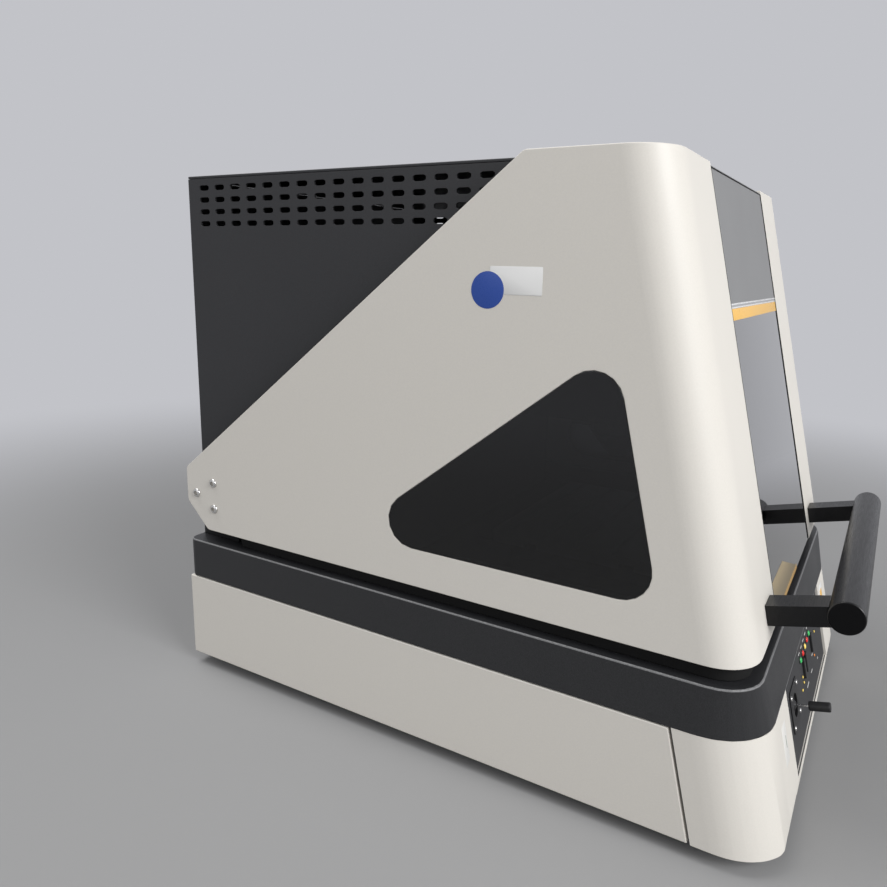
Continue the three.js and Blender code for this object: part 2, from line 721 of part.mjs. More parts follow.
function buildHood() {
  const radius = SHELL_CORNER_RADIUS;
  const outline = rounded(shellOutline(), [0, radius, radius, radius, radius, 0], 4);
  const shellLength = REAR_Y + SHELL_TAIL_OVERHANG - frontAt(HOOD_BOTTOM) + CUT_OVERRUN;
  const sharp = windowCorners();
  const opening = rounded(sharp, WINDOW_RADIUS);
  const paneFace = rounded(drawnIn(sharp, CLEARANCE), WINDOW_RADIUS - CLEARANCE);
  const paneBack = rounded(drawnIn(sharp, -WINDOW_REBATE), WINDOW_RADIUS + WINDOW_REBATE);
  for (const [name, side] of Object.entries(SIDES)) {
    const wall = cornerWall(
      side,
      HOOD_HALF,
      SHELL_FLAT_INNER_HALF,
      SHELL_WALL,
      HOOD_CORNER_RADIUS,
      shellLength,
    );
    const raised = leaning(wall, HOOD_BOTTOM - CUT_OVERRUN, HOOD_TOP + CUT_OVERRUN);
    const trimmed = common(raised, acrossX(outline, -BASE_HALF, BASE_HALF));
    const hole = acrossX(opening, Math.min(0, side * BASE_HALF), Math.max(0, side * BASE_HALF));
    mesh("hood_shell_" + name, cut(trimmed, hole), "pale_shell", hood);

    const outerX = side * HOOD_HALF;
    const innerX = side * (HOOD_HALF - SHELL_WALL - CLEARANCE);
    const backX = side * (HOOD_HALF - SHELL_WALL - CLEARANCE - WINDOW_REBATE_DEPTH);
    const face = acrossX(paneFace, Math.min(outerX, innerX), Math.max(outerX, innerX));
    const back = acrossX(paneBack, Math.min(innerX, backX), Math.max(innerX, backX));
    mesh("hood_window_" + name, join(face, back), "tinted_glass", hood);
  }

  const glassHalf = SHELL_FLAT_INNER_HALF - CLEARANCE;
  const glassTop = HOUSING_TOP - FRONT_PANEL_HEIGHT;
  const glassBack = GLASS_RECESS + GLASS_THICKNESS;
  const glass = [
    at(-glassHalf, GLASS_RECESS),
    at(glassHalf, GLASS_RECESS),
    at(glassHalf, glassBack),
    at(-glassHalf, glassBack),
  ];
  mesh("hood_glass", leaning(glass, HOOD_BOTTOM, glassTop), "tinted_glass", hood);

  const sheetBack = GLASS_RECESS + FRONT_SHEET;
  const sheet = [
    at(-glassHalf, GLASS_RECESS),
    at(glassHalf, GLASS_RECESS),
    at(glassHalf, sheetBack),
    at(-glassHalf, sheetBack),
  ];
  const frontPanel = leaning(sheet, glassTop + CLEARANCE, HOUSING_TOP);
  mesh("hood_front_panel", frontPanel, "front_grey", hood);

  const topFront = frontAt(HOUSING_TOP);
  const topUnderside = HOUSING_TOP - FRONT_SHEET;
  const topRear = CROWN_REAR_Y + HOUSING_CROWN_GAP / 2;
  const topHalf = HOOD_HALF - SHELL_WALL - CLEARANCE;
  const behindShell = topFront + SHELL_WALL + CLEARANCE;
  const topPlan = [
    at(-topHalf, behindShell),
    at(-glassHalf, behindShell),
    at(-glassHalf, topFront + sheetBack + CLEARANCE),
    at(glassHalf, topFront + sheetBack + CLEARANCE),
    at(glassHalf, behindShell),
    at(topHalf, behindShell),
    at(topHalf, topRear),
    at(-topHalf, topRear),
  ];
  const topRadius = HOOD_CORNER_RADIUS - SHELL_WALL - CLEARANCE;
  const topOutline = rounded(topPlan, [topRadius, 0, 0, 0, 0, topRadius, 0, 0]);
  mesh("hood_top_panel", acrossZ(topOutline, topUnderside, HOUSING_TOP), "dark_case", hood);

  const frame = hoodFrameSizes();
  const loop = frontLoop(frame.outerHalf, frame.front, FRAME_WIDTH, frame.length, frame.radius);
  mesh("hood_frame", leaning(loop, HOOD_BOTTOM, HOOD_BOTTOM + FRAME_HEIGHT), "black_metal", hood);

  const plateOuter = HOOD_HALF - SHELL_WALL - CLEARANCE;
  const plateInner = HOUSING_HALF + HINGE_BRACKET_SHEET + CLEARANCE;
  const disc = ringPoints(HINGE.x, HINGE.y, HINGE_PLATE_RADIUS, 32);
  const bore = ringPoints(HINGE.x, HINGE.y, HINGE_PIN_RADIUS + HINGE_BORE_CLEARANCE, 24);
  for (const [name, side] of Object.entries(SIDES)) {
    const ends = [side * plateInner, side * plateOuter];
    mesh("hinge_plate_" + name, acrossX(disc, Math.min(...ends), Math.max(...ends), [bore]), "steel", hood);
  }
}

// Handle: a round bar on two square arms that stand square to the sloping front

const HANDLE_FOOT_Z = HOOD_BOTTOM + HANDLE_FOOT_RISE;
const BAR_Y = frontAt(HANDLE_FOOT_Z) - HANDLE_STANDOFF * Math.cos(LEAN_ANGLE);
const BAR_Z = HANDLE_FOOT_Z + HANDLE_STANDOFF * Math.sin(LEAN_ANGLE);

function buildHandle() {
  const half = BAR_LENGTH / 2;
  const profile = [
    [0, -half],
    [BAR_RADIUS - BAR_CHAMFER, -half],
    [BAR_RADIUS, BAR_CHAMFER - half],
    [BAR_RADIUS, half - BAR_CHAMFER],
    [BAR_RADIUS - BAR_CHAMFER, half],
    [0, half],
  ];
  const bar = turned(profile, 0, 0, 0, 40).rotateY(Math.PI / 2);
  mesh("handle_bar", bar, "black_metal", hood).position.set(0, BAR_Y, BAR_Z);

  const armFrame = new THREE.Group();
  armFrame.position.set(0, frontAt(HANDLE_FOOT_Z), HANDLE_FOOT_Z);
  armFrame.rotation.x = -LEAN_ANGLE;
  hood.add(armFrame);
  const saddle = rod("x", BAR_RADIUS + CLEARANCE, BAR_LENGTH, 0, -HANDLE_STANDOFF, 0, 40);
  for (const [name, side] of Object.entries(SIDES)) {
    const ends = [side * ARM_INNER_HALF, side * (ARM_INNER_HALF + ARM_WIDTH)];
    const bare = block(
      Math.min(...ends),
      Math.max(...ends),
      -HANDLE_STANDOFF,
      -CLEARANCE,
      -ARM_HEIGHT / 2 - ARM_DROP,
      ARM_HEIGHT / 2 - ARM_DROP,
    );
    mesh("handle_arm_" + name, cut(bare, saddle), "black_metal", armFrame);
  }
}

// Rear housing: slotted sides, top, back with its fan, chamber wall, and the bay over the chamber

const BAY_Z = DECK_Z + BAY_UNDERSIDE;
const BAY_FRONT_Y = CHAMBER_REAR_Y - BAY_OVERHANG;
const HOUSING_FRONT_Y = CROWN_REAR_Y + HOUSING_CROWN_GAP;
const FAN_Z = HOUSING_TOP - FAN_DROP;

function bayProfile() {
  return [
    at(CHAMBER_REAR_Y, BAY_Z),
    at(BAY_FRONT_Y, BAY_Z),
    at(BAY_FRONT_Y, BAY_Z + BAY_FRONT_HEIGHT),
    at(HOUSING_FRONT_Y, HOUSING_TOP - BAY_SHOULDER_DROP),
    at(HOUSING_FRONT_Y, HOUSING_TOP - HOUSING_SHEET - CLEARANCE),
  ];
}

function buildHousing() {
  const sideTop = HOUSING_TOP - HOUSING_SHEET - CLEARANCE;
  const outline = [
    at(CHAMBER_REAR_Y, DECK_Z),
    at(REAR_Y, DECK_Z),
    at(REAR_Y, sideTop),
    ...bayProfile().reverse(),
  ];
  const slots = [];
  for (let row = 0; row < SLOT_ROWS; row++) {
    for (let column = 0; column < SLOT_COLUMNS; column++) {
      const y = REAR_Y - SLOT_INSET_Y - SLOT_PITCH_Y * column;
      const z = HOUSING_TOP - SLOT_INSET_Z - SLOT_PITCH_Z * row;
      slots.push(slotPoints(y, z, SLOT_LENGTH, SLOT_HEIGHT, 3));
    }
  }
  const inner = HOUSING_HALF - HOUSING_SHEET;
  mesh("housing_side_left", acrossX(outline, -HOUSING_HALF, -inner, slots), "dark_case", part);
  mesh("housing_side_right", acrossX(outline, inner, HOUSING_HALF, slots), "dark_case", part);

  const lid = block(
    -HOUSING_HALF,
    HOUSING_HALF,
    HOUSING_FRONT_Y,
    REAR_Y,
    HOUSING_TOP - HOUSING_SHEET,
    HOUSING_TOP,
  );
  mesh("housing_top_cover", lid, "dark_case", part);

  const within = inner - CLEARANCE;
  const backHeight = sideTop - DECK_Z;
  const backOutline = rectangle(within, backHeight / 2, 0, DECK_Z + backHeight / 2);
  const fanHole = ringPoints(FAN_OFFSET_X, FAN_Z, FAN_BORE_RADIUS, 32);
  const back = acrossY(backOutline, REAR_Y - HOUSING_SHEET, REAR_Y, [fanHole]);
  mesh("housing_back_cover", back, "dark_case", part);

  const wallTop = BAY_Z - CLEARANCE;
  const wall = block(-within, within, CHAMBER_REAR_Y, CHAMBER_REAR_Y + BAY_SHEET, DECK_Z, wallTop);
  mesh("chamber_back_wall", wall, "dark_case", part);

  const head = headSizes();
  const skin = bayProfile();
  skin[0].x += BAY_SHEET;
  const hole = block(
    head.left - BAY_HOLE_GAP,
    head.right + BAY_HOLE_GAP,
    head.front - BAY_HOLE_GAP,
    head.rear + CARRIAGE_PLATE_SHEET + 2 * CLEARANCE,
    BAY_Z - CUT_OVERRUN,
    BAY_Z + BAY_SHEET + CUT_OVERRUN,
  );
  const folded = acrossX(foldedSheet(skin, BAY_SHEET), -within, within);
  mesh("head_bay_cover", cut(folded, hole), "dark_case", part);
}

// Fan: square frame with a strutted hub, bladed rotor, and the guard outside the back cover

function buildFan() {
  const rear = REAR_Y - HOUSING_SHEET - CLEARANCE;
  const front = rear - FAN_DEPTH;
  const square = rounded(rectangle(FAN_SIDE / 2, FAN_SIDE / 2, FAN_OFFSET_X, FAN_Z), FAN_GUARD_WIRE * 2, 3);
  const bore = ringPoints(FAN_OFFSET_X, FAN_Z, FAN_BORE_RADIUS, 40);
  const strutRear = front + FAN_STRUT_DEPTH;
  const strut = FAN_STRUT_WIDTH / 2;
  const reach = FAN_BORE_RADIUS + FAN_GUARD_WIRE / 2;
  const across = block(FAN_OFFSET_X - reach, FAN_OFFSET_X + reach, front, strutRear, FAN_Z - strut, FAN_Z + strut);
  const upright = block(
    FAN_OFFSET_X - strut,
    FAN_OFFSET_X + strut,
    front,
    strutRear,
    FAN_Z - reach,
    FAN_Z + reach,
  );
  const motor = rod("y", FAN_HUB_RADIUS, FAN_STRUT_DEPTH, FAN_OFFSET_X, front + FAN_STRUT_DEPTH / 2, FAN_Z, 24);
  mesh("fan_frame", join(acrossY(square, front, rear, [bore]), across, upright, motor), "black_plastic", part);

  const rotorFront = strutRear + CLEARANCE;
  const rotorRear = rear - CLEARANCE * 2;
  const rotorDepth = rotorRear - rotorFront;
  const middle = (rotorFront + rotorRear) / 2;
  const bladeTip = FAN_BORE_RADIUS - FAN_BLADE_GAP;
  const bladePitch = Math.asin((rotorDepth - FAN_BLADE_THICKNESS * 2) / (FAN_HUB_RADIUS * 2));
  const blades = [];
  for (let i = 0; i < FAN_BLADES; i++) {
    const length = bladeTip - FAN_HUB_RADIUS / 2;
    const blade = new THREE.BoxGeometry(FAN_HUB_RADIUS, FAN_BLADE_THICKNESS, length);
    blade.rotateZ(bladePitch);
    blade.translate(0, 0, FAN_HUB_RADIUS / 2 + length / 2);
    blade.rotateY((2 * Math.PI * i) / FAN_BLADES);
    blades.push(blade.translate(FAN_OFFSET_X, middle, FAN_Z));
  }
  const hub = rod("y", FAN_HUB_RADIUS, rotorDepth, FAN_OFFSET_X, middle, FAN_Z, 24);
  const swept = rod("y", bladeTip, rotorDepth, FAN_OFFSET_X, middle, FAN_Z, 40);
  mesh("fan_rotor", common(join(hub, ...blades), swept), "black_plastic", part);

  const guardRadius = FAN_BORE_RADIUS + FAN_GUARD_WIRE;
  const pitch = guardRadius / (FAN_GUARD_RINGS + 1);
  const gaps = [];
  const quarter = Math.PI / 2;
  for (let ring = 1; ring <= FAN_GUARD_RINGS; ring++) {
    const inner = pitch * ring + FAN_GUARD_WIRE / 2;
    const outer = pitch * (ring + 1) - (ring === FAN_GUARD_RINGS ? FAN_GUARD_WIRE : FAN_GUARD_WIRE / 2);
    for (let side = 0; side < 4; side++) {
      const margin = FAN_GUARD_WIRE / inner;
      const start = side * quarter + margin;
      const sweep = quarter - 2 * margin;
      const steps = 5;
      const arc = (radius, turn) =>
        at(FAN_OFFSET_X + radius * Math.cos(turn), FAN_Z + radius * Math.sin(turn));
      const gap = [];
      for (let i = 0; i <= steps; i++) gap.push(arc(inner, start + (sweep * i) / steps));
      for (let i = steps; i >= 0; i--) gap.push(arc(outer, start + (sweep * i) / steps));
      gaps.push(gap);
    }
  }
  const disc = ringPoints(FAN_OFFSET_X, FAN_Z, guardRadius, 40);
  mesh("fan_guard", acrossY(disc, REAR_Y, REAR_Y + FAN_GUARD_SHEET, gaps), "black_metal", part);
}

// Mains inlet module with a plug socket and a rocker switch side by side

function buildInlet() {
  const z = FOOT_HEIGHT + INLET_RISE;
  const outer = REAR_Y + INLET_FLANGE_DEPTH;
  const flange = rounded(
    rectangle(INLET_FLANGE_WIDTH / 2, INLET_FLANGE_HEIGHT / 2, INLET_OFFSET_X, z),
    INLET_RIM,
    3,
  );
  const bodyHalfWidth = INLET_FLANGE_WIDTH / 2 - INLET_RIM - CLEARANCE;
  const bodyHalfHeight = INLET_FLANGE_HEIGHT / 2 - INLET_RIM - CLEARANCE;
  const body = acrossY(
    rectangle(bodyHalfWidth, bodyHalfHeight, INLET_OFFSET_X, z),
    REAR_Y - INLET_BODY_DEPTH + INLET_RIM,
    REAR_Y + INLET_FLANGE_DEPTH / 2,
  );
  const socketX = INLET_OFFSET_X + bodyHalfWidth - INLET_RIM - SOCKET_WIDTH / 2;
  const socket = acrossY(
    rounded(rectangle(SOCKET_WIDTH / 2, SOCKET_HEIGHT / 2, socketX, z), [INLET_RIM, INLET_RIM, 0, 0], 1),
    outer - SOCKET_DEPTH,
    outer + CUT_OVERRUN,
  );
  const rockerX = INLET_OFFSET_X - bodyHalfWidth + INLET_RIM + ROCKER_WIDTH / 2 + ROCKER_CLEARANCE;
  const well = block(
    rockerX - ROCKER_WIDTH / 2 - ROCKER_CLEARANCE,
    rockerX + ROCKER_WIDTH / 2 + ROCKER_CLEARANCE,
    outer - SOCKET_DEPTH,
    outer + CUT_OVERRUN,
    z - ROCKER_HEIGHT / 2 - ROCKER_CLEARANCE / 2,
    z + ROCKER_HEIGHT / 2 + ROCKER_CLEARANCE / 2,
  );
  const seated = acrossY(flange, REAR_Y, outer);
  mesh("mains_inlet", cut(join(seated, body), socket, well), "black_plastic", part);

  const swing = THREE.MathUtils.degToRad(ROCKER_SWING_DEG);
  const wing = (ROCKER_WIDTH / 2) * Math.tan(swing);
  const pivotY = outer - ROCKER_DEPTH - wing;
  const profile = [
    at(-ROCKER_WIDTH / 2, 0),
    at(ROCKER_WIDTH / 2, 0),
    at(ROCKER_WIDTH / 2, ROCKER_DEPTH),
    at(0, ROCKER_DEPTH - wing),
    at(-ROCKER_WIDTH / 2, ROCKER_DEPTH),
  ];
  const rocker = acrossZ(profile, -ROCKER_HEIGHT / 2, ROCKER_HEIGHT / 2).translate(0, -ROCKER_DEPTH / 2, 0);
  const turnedRocker = mesh("power_rocker", rocker, "black_plastic", part);
  turnedRocker.position.set(rockerX, pivotY + ROCKER_DEPTH / 2, z);
  turnedRocker.rotation.z = -swing;
}

// Hood pivots: a bracket and pin on each side of the rear housing

function buildHingeBrackets() {
  const half = HINGE_PLATE_RADIUS;
  const outline = rounded(
    [
      at(HINGE.x - half, DECK_Z),
      at(HINGE.x + half, DECK_Z),
      at(HINGE.x + half, HINGE.y + half),
      at(HINGE.x - half, HINGE.y + half),
    ],
    [0, 0, half / 2, half / 2],
    4,
  );
  const pinEnd = HOOD_HALF - SHELL_WALL - CLEARANCE;
  for (const [name, side] of Object.entries(SIDES)) {
    const root = side * HOUSING_HALF;
    const face = side * (HOUSING_HALF + HINGE_BRACKET_SHEET);
    const plateBody = acrossX(outline, Math.min(root, face), Math.max(root, face));
    const pinLength = pinEnd - HOUSING_HALF;
    const middle = side * (HOUSING_HALF + pinLength / 2);
    const pin = rod("x", HINGE_PIN_RADIUS, pinLength, middle, HINGE.x, HINGE.y, 24);
    mesh("hinge_bracket_" + name, join(plateBody, pin), "steel", part);
  }
}

// Sample stage: base plate with two rails, a carriage that runs along Y, and a table that runs along X

const STAGE_Y = FRONT_Y + STAGE_CENTRE_BEHIND_FRONT;
const CARRIAGE_Z = DECK_Z + STAGE_PLATE + STAGE_RUNNING_GAP;
const TABLE_Z = CARRIAGE_Z + CARRIAGE_THICKNESS + STAGE_RUNNING_GAP;
const TABLE_TOP = TABLE_Z + TABLE_THICKNESS;

function buildStage() {
  const halfGauge = RAIL_GAUGE / 2;
  const halfRail = RAIL_WIDTH / 2;
  const stageRear = STAGE_Y + STAGE_LENGTH / 2;
  const stageFront = STAGE_Y - STAGE_LENGTH / 2;
  const plateTop = DECK_Z + STAGE_PLATE;
  const rails = [-halfGauge, halfGauge].map((x) =>
    block(x - halfRail, x + halfRail, stageFront, stageRear, plateTop - STAGE_EDGE, plateTop + RAIL_HEIGHT),
  );
  const plan = rounded(rectangle(STAGE_WIDTH / 2, STAGE_LENGTH / 2, 0, STAGE_Y), STAGE_EDGE, 2);
  mesh("stage_base", join(acrossZ(plan, DECK_Z, plateTop), ...rails), "black_metal", part);

  const slideGap = halfRail + CLEARANCE;
  const grooves = [-halfGauge, halfGauge].map((x) =>
    block(
      x - slideGap,
      x + slideGap,
      stageFront - CUT_OVERRUN,
      stageRear + CUT_OVERRUN,
      CARRIAGE_Z - CUT_OVERRUN,
      plateTop + RAIL_HEIGHT + CLEARANCE,
    ),
  );
  const carriageTop = CARRIAGE_Z + CARRIAGE_THICKNESS;
  const halfCross = CROSS_GAUGE / 2;
  const crossRails = [-halfCross, halfCross].map((y) =>
    block(
      -CARRIAGE_WIDTH / 2,
      CARRIAGE_WIDTH / 2,
      STAGE_Y + y - halfRail,
      STAGE_Y + y + halfRail,
      carriageTop - STAGE_EDGE,
      carriageTop + RAIL_HEIGHT,
    ),
  );
  const carriagePlan = rounded(rectangle(CARRIAGE_WIDTH / 2, CARRIAGE_LENGTH / 2, 0, STAGE_Y), STAGE_EDGE, 2);
  const carriage = join(acrossZ(carriagePlan, CARRIAGE_Z, carriageTop), ...crossRails);
  mesh("stage_carriage", cut(carriage, ...grooves), "black_metal", part);

  const tablePlan = rounded(rectangle(TABLE_WIDTH / 2, TABLE_LENGTH / 2, 0, STAGE_Y), STAGE_EDGE, 2);
  const runners = [-halfCross, halfCross].map((y) =>
    block(
      -TABLE_WIDTH / 2 - CUT_OVERRUN,
      TABLE_WIDTH / 2 + CUT_OVERRUN,
      STAGE_Y + y - slideGap,
      STAGE_Y + y + slideGap,
      TABLE_Z - CUT_OVERRUN,
      carriageTop + RAIL_HEIGHT + CLEARANCE,
    ),
  );
  const spacing = TABLE_LENGTH / TABLE_GROOVES;
  for (let i = 0; i < TABLE_GROOVES; i++) {
    const y = STAGE_Y + spacing * (i - (TABLE_GROOVES - 1) / 2);
    runners.push(
      block(
        -TABLE_WIDTH / 2 - CUT_OVERRUN,
        TABLE_WIDTH / 2 + CUT_OVERRUN,
        y - TABLE_GROOVE_WIDTH / 2,
        y + TABLE_GROOVE_WIDTH / 2,
        TABLE_TOP - TABLE_GROOVE_DEPTH,
        TABLE_TOP + CUT_OVERRUN,
      ),
    );
  }
  mesh("stage_table", cut(acrossZ(tablePlan, TABLE_Z, TABLE_TOP), ...runners), "alloy", part);
}

// Measuring head: a chamfered block with nose, detector snout and camera below, and the tube above

function headSizes() {
  const bottom = TABLE_TOP + SAMPLE_SPACE + NOSE_LENGTH;
  return {
    left: BLOCK_OFFSET_X - BLOCK_WIDTH / 2,
    right: BLOCK_OFFSET_X + BLOCK_WIDTH / 2,
    front: STAGE_Y - BLOCK_LENGTH / 2,
    rear: STAGE_Y + BLOCK_LENGTH / 2,
    bottom,
    top: bottom + BLOCK_HEIGHT,
  };
}

function buildHead() {
  const head = headSizes();
  const blockOutline = [
    at(head.left + BLOCK_CHAMFER, head.bottom),
    at(head.right - BLOCK_CHAMFER, head.bottom),
    at(head.right, head.bottom + BLOCK_CHAMFER),
    at(head.right, head.top),
    at(head.left, head.top),
    at(head.left, head.bottom + BLOCK_CHAMFER),
  ];
  mesh("head_block", acrossY(blockOutline, head.front, head.rear), "alloy", part);

  const noseProfile = [
    [0, -NOSE_LENGTH],
    [NOSE_TIP_RADIUS, -NOSE_LENGTH],
    [NOSE_ROOT_RADIUS, -NOSE_COLLAR],
    [NOSE_ROOT_RADIUS, -CLEARANCE],
    [0, -CLEARANCE],
  ];
  mesh("collimator_nose", turned(noseProfile, 0, STAGE_Y, head.bottom), "steel", part);

  const chamferMiddle = BLOCK_CHAMFER / 2;
  const snoutFrame = new THREE.Group();
  snoutFrame.position.set(head.right - chamferMiddle, STAGE_Y, head.bottom + chamferMiddle);
  snoutFrame.rotation.y = -Math.PI / 4;
  part.add(snoutFrame);
  const snoutProfile = [
    [0, -SNOUT_LENGTH],
    [SNOUT_RADIUS / 2, -SNOUT_LENGTH],
    [SNOUT_RADIUS, -SNOUT_LENGTH / 2],
    [SNOUT_RADIUS, -CLEARANCE],
    [0, -CLEARANCE],
  ];
  mesh("detector_snout", turned(snoutProfile, 0, 0, 0, 24), "steel", snoutFrame);

  const cameraFrame = new THREE.Group();
  cameraFrame.position.set(head.left + chamferMiddle, STAGE_Y, head.bottom + chamferMiddle);
  cameraFrame.rotation.y = Math.PI / 4;
  part.add(cameraFrame);
  const cameraProfile = [
    [0, -CAMERA_LENGTH],
    [CAMERA_RADIUS - CAMERA_EDGE, -CAMERA_LENGTH],
    [CAMERA_RADIUS, CAMERA_EDGE - CAMERA_LENGTH],
    [CAMERA_RADIUS, -CLEARANCE],
    [0, -CLEARANCE],
  ];
  mesh("sample_camera", turned(cameraProfile, 0, 0, 0, 24), "black_metal", cameraFrame);

  const finSpace = (TUBE_HEIGHT - TUBE_CAP) / (2 * TUBE_FINS + 1);
  const tubeProfile = [[0, CLEARANCE], [TUBE_RADIUS, CLEARANCE]];
  for (let fin = 0; fin < TUBE_FINS; fin++) {
    const low = finSpace * (2 * fin + 1);
    tubeProfile.push([TUBE_RADIUS, low], [TUBE_FIN_RADIUS, low]);
    tubeProfile.push([TUBE_FIN_RADIUS, low + finSpace], [TUBE_RADIUS, low + finSpace]);
  }
  tubeProfile.push([TUBE_RADIUS, TUBE_HEIGHT - TUBE_CAP], [TUBE_RADIUS / 2, TUBE_HEIGHT]);
  tubeProfile.push([0, TUBE_HEIGHT]);
  mesh("tube_housing", turned(tubeProfile, 0, STAGE_Y, head.top, 20), "alloy", part);

  const plateFront = head.rear + CLEARANCE;
  const plateRear = plateFront + CARRIAGE_PLATE_SHEET;
  const plateBottom = head.top - BLOCK_HEIGHT / 2;
  const plateTop = plateBottom + CARRIAGE_PLATE_HEIGHT;
  const guideBottom = BAY_Z + BAY_SHEET;
  const tongueBottom = guideBottom + HEAD_TRAVEL_DOWN + GUIDE_GROOVE;
  const slider = block(
    -CARRIAGE_PLATE_WIDTH / 2,
    CARRIAGE_PLATE_WIDTH / 2,
    plateFront,
    plateRear,
    plateBottom,
    plateTop,
  );
  const tongues = [-1, 1].map((side) => {
    const x = (side * CARRIAGE_PLATE_WIDTH) / 4;
    const half = GUIDE_GROOVE - CLEARANCE;
    return block(x - half, x + half, plateRear - half, plateRear + half, tongueBottom, plateTop);
  });
  mesh("head_carriage", join(slider, ...tongues), "black_metal", part);

  const guideFront = plateRear + CLEARANCE;
  const guideBody = block(
    -GUIDE_WIDTH / 2,
    GUIDE_WIDTH / 2,
    guideFront,
    guideFront + GUIDE_DEPTH,
    guideBottom,
    guideBottom + GUIDE_HEIGHT,
  );
  const channels = [-1, 1].map((side) => {
    const x = (side * CARRIAGE_PLATE_WIDTH) / 4;
    const low = guideBottom - CUT_OVERRUN;
    const high = guideBottom + GUIDE_HEIGHT + CUT_OVERRUN;
    return block(x - GUIDE_GROOVE, x + GUIDE_GROOVE, guideFront - CUT_OVERRUN, guideFront + GUIDE_GROOVE, low, high);
  });
  mesh("head_guide", cut(guideBody, ...channels), "black_metal", part);
}

// Electronics that stand on the tray inside the rear housing

function buildElectronics() {
  const rear = REAR_Y - HOUSING_SHEET - ELECTRONICS_SPACING - FAN_DEPTH;
  const left = -ELECTRONICS_SPACING / 2;
  const generatorPlan = rounded(
    [
      at(left - GENERATOR_WIDTH, rear - GENERATOR_LENGTH),
      at(left, rear - GENERATOR_LENGTH),
      at(left, rear),
      at(left - GENERATOR_WIDTH, rear),
    ],
    STAGE_EDGE,
    2,
  );
  mesh("hv_generator", acrossZ(generatorPlan, DECK_Z, DECK_Z + GENERATOR_HEIGHT), "alloy", part);

  const right = ELECTRONICS_SPACING / 2;
  const supplyPlan = rounded(
    [
      at(right, rear - SUPPLY_LENGTH),
      at(right + SUPPLY_WIDTH, rear - SUPPLY_LENGTH),
      at(right + SUPPLY_WIDTH, rear),
      at(right, rear),
    ],
    STAGE_EDGE,
    2,
  );
  mesh("power_supply", acrossZ(supplyPlan, DECK_Z, DECK_Z + SUPPLY_HEIGHT), "steel", part);

  const boardFront = CHAMBER_REAR_Y + BAY_SHEET;
  const boardMiddle = right + BOARD_WIDTH / 2;
  const boardOutline = rectangle(BOARD_WIDTH / 2, BOARD_HEIGHT / 2, boardMiddle, DECK_Z + BOARD_HEIGHT / 2);
  const board = acrossY(boardOutline, boardFront, boardFront + BOARD_SHEET);
  const chips = [-1, 0, 1].map((step) => {
    const x = boardMiddle + step * BOARD_CHIP * 2;
    const z = DECK_Z + BOARD_HEIGHT / 2 + step * BOARD_CHIP;
    const outline = rectangle(BOARD_CHIP / 2, BOARD_CHIP / 2, x, z);
    const back = boardFront + BOARD_SHEET + BOARD_CHIP_HEIGHT;
    return acrossY(outline, boardFront + BOARD_SHEET / 2, back);
  });
  mesh("controller_board", join(board, ...chips), "board_green", part);
}

// Control panel: a sloping plate between the corner covers, with lamps, three keys and a joystick.
// In its own frame -Y points straight out of the slope and Z runs up it.

